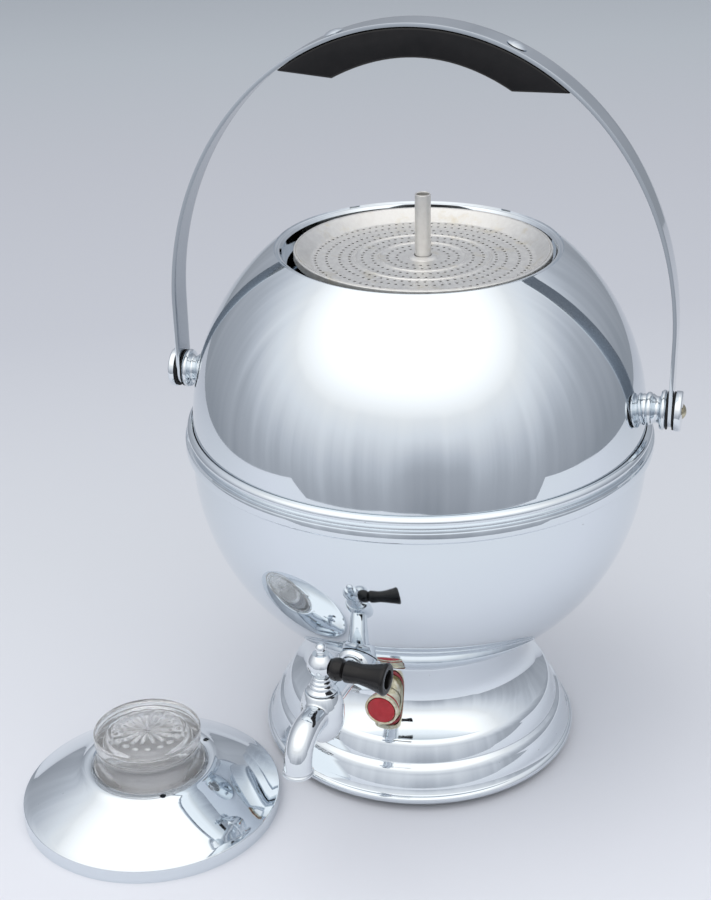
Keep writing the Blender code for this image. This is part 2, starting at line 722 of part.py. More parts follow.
def make_band():
    """Belt band that hides the seam: a flat face, a small ledge, a groove and a round bead."""
    bore = BOWL_RADIUS + SEAT_GAP
    upper_bore = DOME_RADIUS + SEAT_GAP
    foot = BOWL_CENTRE_HEIGHT + BAND_FOOT_RISE
    face_foot = foot + BAND_CHAMFER
    face_top = face_foot + BAND_FACE_HEIGHT
    ledge_top = face_top + BAND_LEDGE_HEIGHT
    groove_top = ledge_top + BAND_GROOVE_HEIGHT
    bead_top = groove_top + BEAD_HEIGHT
    groove = BOWL_RADIUS + BAND_GROOVE_PROUD
    ledge = BOWL_RADIUS + BAND_LEDGE_PROUD
    face = BOWL_RADIUS + BAND_FACE_PROUD
    bead = BOWL_RADIUS + BEAD_PROUD
    outline = [(upper_bore, bead_top)]
    outline += bow((upper_bore, bead_top), (groove, groove_top), bead - (upper_bore + groove) / 2, BEAD_STEPS)
    outline += [(groove, groove_top), (groove, ledge_top), (ledge, ledge_top), (ledge, face_top)]
    outline += [(face, face_top), (face, face_foot), (face - BAND_CHAMFER, foot), (bore, foot)]
    outline += [(bore, SEAM_HEIGHT + SEAT_GAP), (upper_bore, SEAM_HEIGHT + SEAT_GAP)]
    turned("belt_band", outline, CHROME, BODY_STEPS)


# Pedestal and what it holds

def pedestal_outline():
    """Outer side of the pedestal, from the bowl down to the rolled foot."""
    mouth = WAIST_RADIUS + WAIST_MOUTH_FLARE
    mouth_height = bowl_height(mouth, -SEAT_GAP)
    waist = (WAIST_RADIUS, WAIST_HEIGHT)
    cove = (COVE_FOOT_RADIUS, COVE_FOOT_HEIGHT)
    ledge = (LEDGE_RADIUS, LEDGE_HEIGHT)
    groove = (GROOVE_RADIUS, GROOVE_HEIGHT)
    lower = (LOWER_TIER_TOP_RADIUS, LOWER_TIER_TOP_HEIGHT)
    foot = (LOWER_TIER_FOOT_RADIUS, LOWER_TIER_FOOT_HEIGHT)
    outline = [(mouth, mouth_height), waist]
    outline += bow(waist, cove, -COVE_SAG, COVE_STEPS)
    outline += [cove, ledge]
    outline += bow(ledge, groove, UPPER_TIER_BULGE, TIER_STEPS)
    outline += [groove, lower]
    outline += bow(lower, foot, LOWER_TIER_BULGE, TIER_STEPS)
    outline.append(foot)
    return outline


def make_pedestal(pilot_frame):
    """Stepped pedestal shell with a rolled foot, drilled for the pilot light and the inlet."""
    outer = pedestal_outline()
    roll = FOOT_BEAD_HEIGHT / 2
    bead = arc(FOOT_BEAD_RADIUS - roll, roll, roll, FOOT_BEAD_TURN, -FOOT_BEAD_TURN, FOOT_BEAD_STEPS)
    inner = [(LOWER_TIER_FOOT_RADIUS - SHEET, 0), (LOWER_TIER_FOOT_RADIUS - SHEET, LOWER_TIER_FOOT_HEIGHT)]
    inner += [
        (LOWER_TIER_TOP_RADIUS - SHEET, LOWER_TIER_TOP_HEIGHT - SHEET),
        (GROOVE_RADIUS - SHEET - SHEET, GROOVE_HEIGHT - SHEET),
        (LEDGE_RADIUS - SHEET - SHEET, LEDGE_HEIGHT - SHEET),
        (COVE_FOOT_RADIUS - SHEET, COVE_FOOT_HEIGHT - SHEET),
    ]
    inner += bow(inner[-1], (WAIST_RADIUS - SHEET, WAIST_HEIGHT), COVE_SAG, COVE_STEPS - 2)
    inner.append((WAIST_RADIUS - SHEET, WAIST_HEIGHT))
    mouth = WAIST_RADIUS + WAIST_MOUTH_FLARE - SHEET
    inner.append((mouth, bowl_height(mouth, -SEAT_GAP)))
    pedestal = turned("pedestal_base", outer + bead + inner, CHROME, BODY_STEPS)
    pilot_drill = rod(
        "pilot_drill",
        PILOT_TUBE_RADIUS + SEAT_GAP,
        PILOT_ROOT,
        PILOT_REACH,
        None,
        parent=pilot_frame,
        location=(0, 0, PILOT_HEIGHT),
        rotation=(QUARTER_TURN, 0, 0),
    )
    cut(pedestal, pilot_drill)
    slot_size = (INLET_WIDTH + 2 * SEAT_GAP, INLET_REACH - INLET_ROOT, INLET_DEPTH + 2 * SEAT_GAP)
    slot = block(
        "inlet_slot",
        slot_size,
        None,
        INLET_CORNER + SEAT_GAP,
        INLET_CORNER_STEPS,
        location=(0, (INLET_REACH + INLET_ROOT) / 2, INLET_HEIGHT),
    )
    cut(pedestal, slot)


def foot_places():
    """Centres of the feet, the first one at the front."""
    places = []
    for index in range(FOOT_COUNT):
        angle = math.radians(FULL_TURN * index / FOOT_COUNT - QUARTER_TURN)
        places.append((FOOT_CIRCLE_RADIUS * math.cos(angle), FOOT_CIRCLE_RADIUS * math.sin(angle)))
    return places


def make_base():
    """Base plate, the ring that takes its screws, and the feet."""
    plate_radius = LOWER_TIER_FOOT_RADIUS - SHEET - SEAT_GAP
    ring_foot = BASE_PLATE_THICKNESS + SEAT_GAP
    ring_top = ring_foot + BASE_RING_THICKNESS
    plate_outline = [(0, BASE_PLATE_THICKNESS), (plate_radius, BASE_PLATE_THICKNESS)]
    plate_outline += [(plate_radius, 0), (0, 0)]
    base_plate = turned("base_plate", plate_outline, ZINC, BODY_STEPS)
    ring_outline = [(plate_radius, ring_top), (plate_radius, ring_foot)]
    ring_outline += [(plate_radius - BASE_RING_WIDTH, ring_foot), (plate_radius - BASE_RING_WIDTH, ring_top)]
    base_ring = turned("base_ring", ring_outline, ZINC, BODY_STEPS)
    hole_top = ring_top + CUT_OVERRUN
    hole_radius = FOOT_SCREW_RADIUS + SEAT_GAP
    drill = cluster("foot_screw_drill", foot_places(), hole_radius, -CUT_OVERRUN, hole_top, PIN_STEPS)
    cut(base_plate, drill)
    cut(base_ring, drill)
    vents = ring_places((VENT_COUNT,), (VENT_CIRCLE_RADIUS,))
    cut(base_plate, cluster("vent_drill", vents, VENT_RADIUS, -CUT_OVERRUN, hole_top, HEX_STEPS))
    recess = FOOT_SCREW_HEAD_RADIUS + SEAT_GAP
    head_top = FLOOR_LEVEL + FOOT_RECESS_DEPTH
    screw_head = [(0, head_top - SEAT_GAP - FOOT_SCREW_HEAD_HEIGHT)]
    for (x, y), side in zip(foot_places(), FOOT_NAMES):
        foot = [(FOOT_TOP_RADIUS, -SEAT_GAP), (FOOT_TREAD_RADIUS, FLOOR_LEVEL), (recess, FLOOR_LEVEL)]
        foot += [(recess, head_top), (hole_radius, head_top), (hole_radius, -SEAT_GAP)]
        turned("foot_" + side, foot, RUBBER, PIN_STEPS, location=(x, y, 0))
        head_foot = screw_head[0][1]
        screw = [(0, ring_top + FOOT_SCREW_TAIL), (FOOT_SCREW_RADIUS, ring_top + FOOT_SCREW_TAIL)]
        screw += [(FOOT_SCREW_RADIUS, head_top - SEAT_GAP), (FOOT_SCREW_HEAD_RADIUS, head_top - SEAT_GAP)]
        screw += [(FOOT_SCREW_HEAD_RADIUS, head_foot), (0, head_foot)]
        turned("foot_screw_" + side, screw, ZINC, PIN_STEPS, location=(x, y, 0))


def make_heater():
    """Drawn well in the bowl, the band heater round it and the thermostat below it."""
    inset = SHEET + SEAT_GAP
    flange = WELL_RADIUS + WELL_FLANGE_WIDTH
    bore = WELL_RADIUS - SHEET
    floor = WELL_FLOOR_HEIGHT + SHEET
    outline = [(flange, bowl_height(flange, inset + SHEET)), (flange, bowl_height(flange, inset))]
    outline += [(WELL_RADIUS, bowl_height(WELL_RADIUS, inset)), (WELL_RADIUS, WELL_FLOOR_HEIGHT)]
    outline += [(0, WELL_FLOOR_HEIGHT), (0, floor), (bore, floor), (bore, bowl_height(bore, inset + SHEET))]
    turned("heater_well", outline, ALUMINIUM, WIDE_STEPS)
    inner = WELL_RADIUS + SEAT_GAP
    outer = inner + HEATER_WIDTH
    low = WELL_FLOOR_HEIGHT + HEATER_RISE
    high = low + HEATER_HEIGHT
    edge = HEATER_WIDTH / 4
    heater = [(inner, high), (outer - edge, high), (outer, high - edge), (outer, low + edge)]
    heater += [(outer - edge, low), (inner, low)]
    turned("heating_element", heater, ZINC, WIDE_STEPS)
    top = WELL_FLOOR_HEIGHT - SEAT_GAP
    body_top = top - THERMOSTAT_CAP_HEIGHT
    body_foot = body_top - THERMOSTAT_BODY_HEIGHT
    thermostat = [(0, top), (THERMOSTAT_CAP_RADIUS, top), (THERMOSTAT_CAP_RADIUS, body_top)]
    thermostat += [(THERMOSTAT_RADIUS, body_top), (THERMOSTAT_RADIUS, body_foot), (0, body_foot)]
    turned("thermostat", thermostat, CERAMIC)


def make_pilot_light(pilot_frame):
    """Brass bezel tube through the pedestal with a red lens, its nut and the bulb behind."""
    place = {
        "parent": pilot_frame,
        "location": (0, 0, PILOT_HEIGHT),
        "rotation": (QUARTER_TURN, 0, 0),
    }
    bore = PILOT_TUBE_RADIUS - PILOT_TUBE_WALL
    pocket = PILOT_RIM_RADIUS - PILOT_TUBE_WALL
    rim_back = PILOT_REACH - PILOT_RIM_LENGTH
    pocket_back = rim_back + PILOT_TUBE_WALL
    lip_back = PILOT_REACH - PILOT_LIP_THICKNESS
    window = PILOT_WINDOW_RADIUS + SEAT_GAP
    bezel = [(window, PILOT_REACH), (PILOT_RIM_RADIUS, PILOT_REACH), (PILOT_RIM_RADIUS, rim_back)]
    bezel += [(PILOT_TUBE_RADIUS, rim_back), (PILOT_TUBE_RADIUS, PILOT_ROOT), (bore, PILOT_ROOT)]
    bezel += [(bore, pocket_back), (pocket, pocket_back), (pocket, lip_back), (window, lip_back)]
    turned("pilot_bezel", bezel, BRASS, **place)
    shoulder = pocket - SEAT_GAP
    shoulder_front = lip_back - SEAT_GAP
    shoulder_back = pocket_back + SEAT_GAP
    skirt = bore - SEAT_GAP
    skirt_back = shoulder_back - LENS_SKIRT_LENGTH
    lens = [(0, PILOT_REACH + LENS_CROWN)]
    lens += bow(lens[0], (PILOT_WINDOW_RADIUS, PILOT_REACH), LENS_CROWN / 3, 3)
    lens += [(PILOT_WINDOW_RADIUS, PILOT_REACH), (PILOT_WINDOW_RADIUS, shoulder_front)]
    lens += [(shoulder, shoulder_front), (shoulder, shoulder_back), (skirt, shoulder_back)]
    lens += [(skirt, skirt_back), (0, skirt_back)]
    turned("pilot_lens", lens, RED_GLASS, **place)
    nut_bore = PILOT_TUBE_RADIUS + SEAT_GAP
    nut_outer = nut_bore + PILOT_NUT_WIDTH
    wall_line = WAIST_RADIUS - SHEET - SEAT_GAP
    nut_front = math.sqrt(wall_line * wall_line - nut_outer * nut_outer) - SEAT_GAP
    nut_back = nut_front - PILOT_NUT_THICKNESS
    nut = [(nut_outer, nut_front), (nut_outer, nut_back), (nut_bore, nut_back), (nut_bore, nut_front)]
    turned("pilot_nut", nut, BRASS, **place)
    base_radius = bore - SEAT_GAP
    base_front = PILOT_ROOT + BULB_BASE_THICKNESS
    tip = base_front + BULB_LENGTH
    bulb = arc(0, tip - BULB_RADIUS, BULB_RADIUS, QUARTER_TURN, 0, BULB_STEPS)
    bulb[0] = (0, tip)
    bulb += [(BULB_RADIUS, base_front), (base_radius, base_front), (base_radius, PILOT_ROOT), (0, PILOT_ROOT)]
    turned("pilot_bulb", bulb, CLEAR_GLASS, **place)


def make_inlet():
    """Power inlet at the back: a shroud with two round pins on an insulator."""
    middle = (INLET_REACH + INLET_ROOT) / 2
    length = INLET_REACH - INLET_ROOT
    shroud = block(
        "inlet_shroud",
        (INLET_WIDTH, length, INLET_DEPTH),
        CHROME,
        INLET_CORNER,
        INLET_CORNER_STEPS,
        location=(0, middle, INLET_HEIGHT),
    )
    hollow_size = (INLET_WIDTH - 2 * INLET_WALL, length + 2 * CUT_OVERRUN, INLET_DEPTH - 2 * INLET_WALL)
    hollow = block(
        "inlet_hollow",
        hollow_size,
        None,
        INLET_CORNER - INLET_WALL,
        INLET_CORNER_STEPS,
        location=(0, middle, INLET_HEIGHT),
    )
    cut(shroud, hollow)
    insulator_size = (hollow_size[0] - 2 * SEAT_GAP, INSULATOR_THICKNESS, hollow_size[2] - 2 * SEAT_GAP)
    insulator = block(
        "inlet_insulator",
        insulator_size,
        CERAMIC,
        INLET_CORNER - INLET_WALL,
        INLET_CORNER_STEPS,
        location=(0, INLET_ROOT + INSULATOR_THICKNESS / 2, INLET_HEIGHT),
    )
    for side, sign in (("left", 1), ("right", -1)):
        x = sign * INLET_PIN_SPACING / 2
        place = {"location": (x, 0, INLET_HEIGHT), "rotation": (-QUARTER_TURN, 0, 0), "steps": WIDE_STEPS}
        tip = INLET_REACH - INLET_PIN_SETBACK
        shoulder = INLET_ROOT + INSULATOR_THICKNESS + SEAT_GAP
        tail = INLET_ROOT - INLET_PIN_TAIL
        pin = [(0, tip), (INLET_PIN_RADIUS - INLET_PIN_CHAMFER, tip)]
        pin += [(INLET_PIN_RADIUS, tip - INLET_PIN_CHAMFER), (INLET_PIN_RADIUS, shoulder)]
        pin.append((INLET_PIN_TAIL_RADIUS, shoulder))
        pin += [(INLET_PIN_TAIL_RADIUS, tail), (0, tail)]
        turned("inlet_pin_" + side, pin, NICKEL, **place)
        bore = INLET_PIN_TAIL_RADIUS + SEAT_GAP
        drill = rod("inlet_pin_drill_" + side, bore, INLET_ROOT - CUT_OVERRUN, INLET_REACH, None, **place)
        cut(insulator, drill)


# Spigot

def spout_path(start, end_height):
    """Centre line of the spout: out of the barrel, round the bend and down to the tip."""
    bend_start = SPOUT_REACH - SPOUT_BEND_RADIUS
    points = [(0, -start, SHANK_HEIGHT)]
    for step in range(SPOUT_BEND_STEPS + 1):
        angle = math.radians(QUARTER_TURN * step / SPOUT_BEND_STEPS)
        out = bend_start + SPOUT_BEND_RADIUS * math.sin(angle)
        height = SHANK_HEIGHT - SPOUT_BEND_RADIUS * (1 - math.cos(angle))
        points.append((0, -out, height))
    points.append((0, -SPOUT_REACH, end_height))
    return points


def make_spigot_body(spigot_frame):
    """One casting: shank through the ball, barrel for the plug and the curved spout."""
    barrel_place = {"parent": spigot_frame, "location": (0, -SPIGOT_REACH, 0)}
    shank_place = {
        "parent": spigot_frame,
        "location": (0, 0, SHANK_HEIGHT),
        "rotation": (QUARTER_TURN, FACET_TWIST, 0),
    }
    height = BARREL_TOP_HEIGHT - BARREL_FLOOR_HEIGHT
    belly = BARREL_FLOOR_HEIGHT + height * BARREL_BELLY_RISE_SHARE
    barrel = [(0, BARREL_TOP_HEIGHT), (BARREL_SHOULDER_RADIUS, BARREL_TOP_HEIGHT)]
    upper_rise = (BARREL_RADIUS - BARREL_SHOULDER_RADIUS) / 3
    barrel += bow(barrel[-1], (BARREL_RADIUS, belly), upper_rise, 3)
    barrel.append((BARREL_RADIUS, belly))
    lower_rise = (BARREL_RADIUS - BARREL_TAIL_RADIUS) / 3
    barrel += bow((BARREL_RADIUS, belly), (BARREL_TAIL_RADIUS, BARREL_FLOOR_HEIGHT), lower_rise, 4)
    barrel += [(BARREL_TAIL_RADIUS, BARREL_FLOOR_HEIGHT), (0, BARREL_FLOOR_HEIGHT)]
    body = turned("spigot_body", barrel, BRIGHT_CHROME, **barrel_place)
    shank_end = SPIGOT_REACH - PLUG_TAIL_RADIUS / 2
    spout_start = SPIGOT_REACH + PLUG_TAIL_RADIUS / 2
    lip_top = SPOUT_TIP_HEIGHT + SPOUT_LIP_HEIGHT
    lip_middle = SPOUT_TIP_HEIGHT + SPOUT_LIP_HEIGHT / 2
    fuse(body, rod("shank_guide", SHANK_RADIUS, SHANK_ROOT, shank_end, None, **shank_place))
    fuse(body, tube("spout_guide", spout_path(spout_start, lip_middle), SPOUT_RADIUS, None, spigot_frame))
    lip = SPOUT_RADIUS + SPOUT_LIP_PROUD
    lip_outline = [(0, lip_top), (SPOUT_RADIUS - SEAT_GAP, lip_top), (lip, lip_middle)]
    lip_outline += [(lip, SPOUT_TIP_HEIGHT), (0, SPOUT_TIP_HEIGHT)]
    lip_place = {"parent": spigot_frame, "location": (0, -SPOUT_REACH, 0)}
    fuse(body, turned("spout_lip_guide", lip_outline, None, **lip_place))
    hole_floor = BARREL_FLOOR_HEIGHT + PLUG_FLOOR_RISE
    hole_top = BARREL_TOP_HEIGHT + CUT_OVERRUN
    mouth = PLUG_TOP_RADIUS + SEAT_GAP
    hole = [(0, hole_top), (mouth, hole_top), (mouth, BARREL_TOP_HEIGHT)]
    hole += [(PLUG_TAIL_RADIUS + SEAT_GAP, hole_floor), (0, hole_floor)]
    cut(body, turned("plug_hole", hole, None, **barrel_place))
    bore_root = SHANK_ROOT - CUT_OVERRUN
    bore = rod("shank_bore", SHANK_BORE_RADIUS, bore_root, shank_end, None, steps=PIN_STEPS, **shank_place)
    cut(body, bore)
    bore_path = spout_path(spout_start, SPOUT_TIP_HEIGHT - CUT_OVERRUN)
    cut(body, tube("spout_bore", bore_path, SPOUT_BORE_RADIUS, None, spigot_frame))


def make_spigot_fixings(spigot_frame):
    """Contoured collar and washer on either side of the wall, and the nut that draws them up."""
    place = {
        "parent": spigot_frame,
        "location": (0, 0, SHANK_HEIGHT),
        "rotation": (QUARTER_TURN, FACET_TWIST, 0),
    }
    bore = SHANK_RADIUS + SEAT_GAP
    chamfer = COLLAR_FRONT_REACH - COLLAR_CHAMFER
    collar = [(bore, COLLAR_FRONT_REACH), (COLLAR_RADIUS - COLLAR_CHAMFER, COLLAR_FRONT_REACH)]
    collar += [(COLLAR_RADIUS, chamfer), (COLLAR_RADIUS, SHANK_ROOT), (bore, SHANK_ROOT)]
    collar_piece = turned("spigot_collar", collar, BRIGHT_CHROME, **place)
    cut(collar_piece, bowl_envelope("bowl_outer_envelope", SEAT_GAP))
    washer_front = COLLAR_FRONT_REACH
    washer = [(bore, washer_front), (INNER_WASHER_RADIUS, washer_front)]
    washer += [(INNER_WASHER_RADIUS, INNER_WASHER_REACH), (bore, INNER_WASHER_REACH)]
    washer_piece = turned("spigot_washer", washer, RUBBER, **place)
    combine(washer_piece, bowl_envelope("bowl_inner_envelope", -SHEET - SEAT_GAP), "INTERSECT")
    nut_front = INNER_WASHER_REACH - SEAT_GAP
    nut_back = nut_front - LOCKNUT_THICKNESS
    nut = [(bore, nut_front), (LOCKNUT_RADIUS, nut_front), (LOCKNUT_RADIUS, nut_back), (bore, nut_back)]
    locknut = turned("spigot_locknut", nut, NICKEL, HEX_STEPS, **place)
    cut(locknut, rod("locknut_bore", bore, nut_back - CUT_OVERRUN, nut_front + CUT_OVERRUN, None, **place))


def make_spigot_handle(tap_frame):
    """Plug, onion knob, lever and its stud, which turn together, and the fixed bonnet."""
    place = {"parent": tap_frame}
    plug_top = BARREL_TOP_HEIGHT - SEAT_GAP
    plug_foot = BARREL_FLOOR_HEIGHT + PLUG_FLOOR_RISE + SEAT_GAP
    stem_top = BARREL_TOP_HEIGHT + PLUG_STEM_HEIGHT
    plug = [(0, stem_top), (PLUG_STEM_RADIUS, stem_top), (PLUG_STEM_RADIUS, plug_top)]
    plug += [(PLUG_TOP_RADIUS, plug_top), (PLUG_TAIL_RADIUS, plug_foot), (0, plug_foot)]
    plug_piece = turned("spigot_plug", plug, NICKEL, **place)
    port = rod(
        "plug_port",
        SHANK_BORE_RADIUS,
        -PLUG_TOP_RADIUS - CUT_OVERRUN,
        PLUG_TOP_RADIUS + CUT_OVERRUN,
        None,
        steps=PIN_STEPS,
        parent=tap_frame,
        location=(0, 0, SHANK_HEIGHT),
        rotation=(QUARTER_TURN, FACET_TWIST, QUARTER_TURN),
    )
    cut(plug_piece, port)

    bonnet_top = BONNET_FOOT_HEIGHT + BONNET_HEIGHT
    rim_top = BONNET_FOOT_HEIGHT + BONNET_RIM_HEIGHT
    ring_pitch = (bonnet_top - rim_top) / BONNET_RINGS
    bore = PLUG_STEM_RADIUS + SEAT_GAP
    bonnet = [(bore, bonnet_top)]
    for number in range(BONNET_RINGS):
        ring_top = bonnet_top - number * ring_pitch
        ring_radius = BONNET_RING_RADIUS + number * BONNET_RING_SPREAD
        bonnet += [(ring_radius - BONNET_RING_PROUD, ring_top), (ring_radius, ring_top - ring_pitch / 3)]
        bonnet += [(ring_radius, ring_top - ring_pitch * 2 / 3)]
    bonnet += [(ring_radius - BONNET_RING_PROUD, rim_top)]
    bonnet += [(BONNET_RIM_RADIUS, rim_top - BONNET_RIM_HEIGHT / 2)]
    bonnet += [(BONNET_RIM_RADIUS, BONNET_FOOT_HEIGHT), (bore, BONNET_FOOT_HEIGHT)]
    turned("spigot_bonnet", bonnet, BRIGHT_CHROME, parent=tap_frame.parent, location=tap_frame.location)

    onion_top = ONION_FOOT_HEIGHT + ONION_HEIGHT
    onion_middle = (ONION_FOOT_HEIGHT + onion_top) / 2
    finial_centre = onion_top + FINIAL_RADIUS
    knob = arc(0, finial_centre, FINIAL_RADIUS, QUARTER_TURN, -FINIAL_UNDERCUT, FINIAL_STEPS)
    knob[0] = (0, finial_centre + FINIAL_RADIUS)
    knob.append((ONION_NECK_RADIUS, onion_top))
    half_height = ONION_HEIGHT / 2
    for step in range(ONION_STEPS + 1):
        share = 1 - 2 * step / ONION_STEPS
        swell = math.cos(share * QUARTER_TURN * math.pi / 180 * ONION_END_SHARE)
        knob.append((ONION_RADIUS * swell, onion_middle + half_height * share))
    socket = PLUG_STEM_RADIUS + SEAT_GAP
    socket_top = stem_top + SEAT_GAP
    knob += [(socket, ONION_FOOT_HEIGHT), (socket, socket_top), (0, socket_top)]
    knob_piece = turned("spigot_knob", knob, BRIGHT_CHROME, **place)

    lever_height = ONION_FOOT_HEIGHT + LEVER_RISE
    lever_place = {
        "parent": tap_frame,
        "location": (0, 0, lever_height),
        "rotation": (0, QUARTER_TURN, 0),
    }
    stud_bore = STUD_RADIUS + SEAT_GAP
    stud_tip = STUD_ROOT + STUD_LENGTH
    rod("lever_stud", STUD_RADIUS, STUD_ROOT, stud_tip, BRIGHT_CHROME, steps=PIN_STEPS, **lever_place)
    drill_root = STUD_ROOT - SEAT_GAP
    drill_tip = stud_tip + SEAT_GAP
    drill = rod("stud_drill", stud_bore, drill_root, drill_tip, None, steps=PIN_STEPS, **lever_place)
    cut(knob_piece, drill)
    seat = rod("lever_seat", LEVER_SEAT_RADIUS, LEVER_SEAT_REACH, drill_tip, None, **lever_place)
    cut(knob_piece, seat)
    bulb_back = LEVER_SEAT_REACH + SEAT_GAP
    bulb_front = bulb_back + LEVER_BULB_LENGTH
    waist = (LEVER_WAIST_RADIUS, bulb_front + (LEVER_REACH - bulb_front) * LEVER_WAIST_SHARE)
    end_edge = LEVER_END_RADIUS / 6
    end = (LEVER_END_RADIUS, LEVER_REACH - end_edge)
    lever = [(LEVER_END_RECESS_RADIUS, LEVER_REACH), (LEVER_END_RADIUS - end_edge, LEVER_REACH), end]
    lever += bow(end, waist, -LEVER_FLARE_SAG, 4)
    lever += [waist, (LEVER_SHOULDER_RADIUS, bulb_front + end_edge), (LEVER_GROOVE_RADIUS, bulb_front)]
    bulb_middle = (bulb_back + bulb_front) / 2
    lever += arc(0, bulb_middle, LEVER_BULB_RADIUS, LEVER_BULB_HALF_ANGLE, -LEVER_BULB_HALF_ANGLE, 3)
    lever += [(LEVER_GROOVE_RADIUS, bulb_back), (stud_bore, bulb_back)]
    lever += [(stud_bore, drill_tip), (0, drill_tip)]
    recess_floor = LEVER_REACH - LEVER_END_RECESS_DEPTH
    lever += [(0, recess_floor), (LEVER_END_RECESS_RADIUS, recess_floor)]
    turned("spigot_lever", lever, BAKELITE, **lever_place)


# Bail

def arch_point(angle, inset):
    """Point of the bail's middle line moved inwards by inset; angle from the right leg, in degrees."""
    turn = math.radians(angle)
    x = BAIL_HALF_SPAN * math.cos(turn)
    z = BAIL_LEG_HEIGHT + BAIL_ARCH_HEIGHT * math.sin(turn)
    normal = Vector((math.cos(turn) / BAIL_HALF_SPAN, math.sin(turn) / BAIL_ARCH_HEIGHT)).normalized()
    return (x - normal.x * inset, z - normal.y * inset)


def arch_line(inset, steps):
    """The whole arch at an inset, from the right leg's foot over to the left leg's."""
    return [arch_point(2 * QUARTER_TURN * step / steps, inset) for step in range(steps + 1)]


def arch_angle(x, inset):
    """Angle at which the arch, moved inwards by inset, stands at this x, by halving."""
    low, high = 0.0, QUARTER_TURN
    for _ in range(40):
        middle = (low + high) / 2
        if arch_point(middle, inset)[0] > x:
            low = middle
        else:
            high = middle
    return low


def arch_middle(x, drop):
    """Point at this x, the drop below the bail's middle line."""
    share = x / BAIL_HALF_SPAN
    return (x, BAIL_LEG_HEIGHT + BAIL_ARCH_HEIGHT * math.sqrt(1 - share * share) - drop)


def make_strap(bail_frame):
    """Flat strap with round ends, drilled for the pivots and the grip's screws."""
    half = STRAP_THICKNESS / 2
    foot = -STRAP_WIDTH
    outer = arch_line(-half, ARCH_STEPS)
    inner = arch_line(half, ARCH_STEPS)
    outline = [(BAIL_HALF_SPAN + half, foot)] + outer + [(-BAIL_HALF_SPAN - half, foot)]
    outline += [(-BAIL_HALF_SPAN + half, foot)] + inner[::-1] + [(BAIL_HALF_SPAN - half, foot)]
    blank = STRAP_WIDTH + 2 * CUT_OVERRUN
    strap = plate("bail_strap", outline, blank, CHROME, bail_frame, rotation=(QUARTER_TURN, 0, 0))
    side = arc(0, 0, STRAP_WIDTH / 2, 0, -2 * QUARTER_TURN, STRAP_END_STEPS)
    crown = BAIL_LEG_HEIGHT + BAIL_ARCH_HEIGHT + CUT_OVERRUN
    side += [(-STRAP_WIDTH / 2, crown), (STRAP_WIDTH / 2, crown)]
    blank_length = 2 * (BAIL_HALF_SPAN + CUT_OVERRUN)
    stand = (QUARTER_TURN, 0, QUARTER_TURN)
    combine(strap, plate("strap_side", side, blank_length, None, bail_frame, rotation=stand), "INTERSECT")
    pivot_hole = PIVOT_SCREW_RADIUS + RUNNING_GAP
    for name, sign in (("left", -1), ("right", 1)):
        start = BAIL_HALF_SPAN - CUT_OVERRUN
        end = BAIL_HALF_SPAN + CUT_OVERRUN
        place = {"parent": bail_frame, "rotation": (0, sign * QUARTER_TURN, 0)}
        cut(strap, rod("strap_drill_" + name, pivot_hole, start, end, None, steps=PIN_STEPS, **place))
    return strap


def make_grip(bail_frame, strap):
    """Black grip under the crown of the strap, a little right of its middle, and its two screws."""
    top_inset = STRAP_THICKNESS / 2 + SEAT_GAP
    start = arch_angle(GRIP_OFFSET + GRIP_HALF_LENGTH, top_inset)
    end = 2 * QUARTER_TURN - arch_angle(GRIP_HALF_LENGTH - GRIP_OFFSET, top_inset)
    outline = []
    for step in range(GRIP_STEPS + 1):
        outline.append(arch_point(start + (end - start) * step / GRIP_STEPS, top_inset))
    left_corner = arch_middle(GRIP_OFFSET - GRIP_HOLD_HALF_LENGTH, GRIP_CORNER_DROP)
    right_corner = arch_middle(GRIP_OFFSET + GRIP_HOLD_HALF_LENGTH, GRIP_CORNER_DROP)
    hold_height = arch_middle(GRIP_OFFSET, GRIP_HOLD_DROP)[1]
    sag = hold_height - (left_corner[1] + right_corner[1]) / 2
    outline += [left_corner, *bow(left_corner, right_corner, sag, GRIP_STEPS), right_corner]
    grip = plate("bail_grip", outline, STRAP_WIDTH, BAKELITE, bail_frame, rotation=(QUARTER_TURN, 0, 0))
    bevel = grip.modifiers.new("Rounded edges", "BEVEL")
    bevel.width = GRIP_EDGE_BEVEL
    bevel.segments = 1
    bevel.limit_method = "ANGLE"
    bevel.angle_limit = math.radians(GRIP_EDGE_ANGLE)
    seat_inset = -STRAP_THICKNESS / 2 - SEAT_GAP
    for name, sign in (("left", -1), ("right", 1)):
        angle = arch_angle(GRIP_SCREW_PLACE + sign * GRIP_OFFSET, seat_inset)
        x, z = arch_point(angle, seat_inset)
        inner_x, inner_z = arch_point(angle, 0)
        lean = math.degrees(math.atan2(x - inner_x, z - inner_z))
        place = {"parent": bail_frame, "location": (sign * x, 0, z), "rotation": (0, sign * lean, 0)}
        head = arc_head(GRIP_SCREW_HEAD_RADIUS, GRIP_SCREW_HEAD_HEIGHT)
        depth = STRAP_THICKNESS + 2 * SEAT_GAP + GRIP_SCREW_DEPTH
        screw = head + [(GRIP_SCREW_RADIUS, 0), (GRIP_SCREW_RADIUS, -depth), (0, -depth)]
        turned("grip_screw_" + name, screw, CHROME, PIN_STEPS, **place)
        bore = GRIP_SCREW_RADIUS + SEAT_GAP
        hole_floor = -depth - SEAT_GAP
        drill = rod("grip_drill_" + name, bore, hole_floor, CUT_OVERRUN, None, steps=PIN_STEPS, **place)
        cut(strap, drill)
        cut(grip, drill)


def arc_head(radius, height):
    """Upper side of a domed screw head whose flat underside is at zero."""
    sphere = (radius * radius + height * height) / (2 * height)
    half_angle = math.degrees(math.asin(radius / sphere))
    points = arc(0, height - sphere, sphere, QUARTER_TURN, QUARTER_TURN - half_angle, DOMED_HEAD_STEPS)
    points[0] = (0, height)
    points[-1] = (radius, 0)
    return points


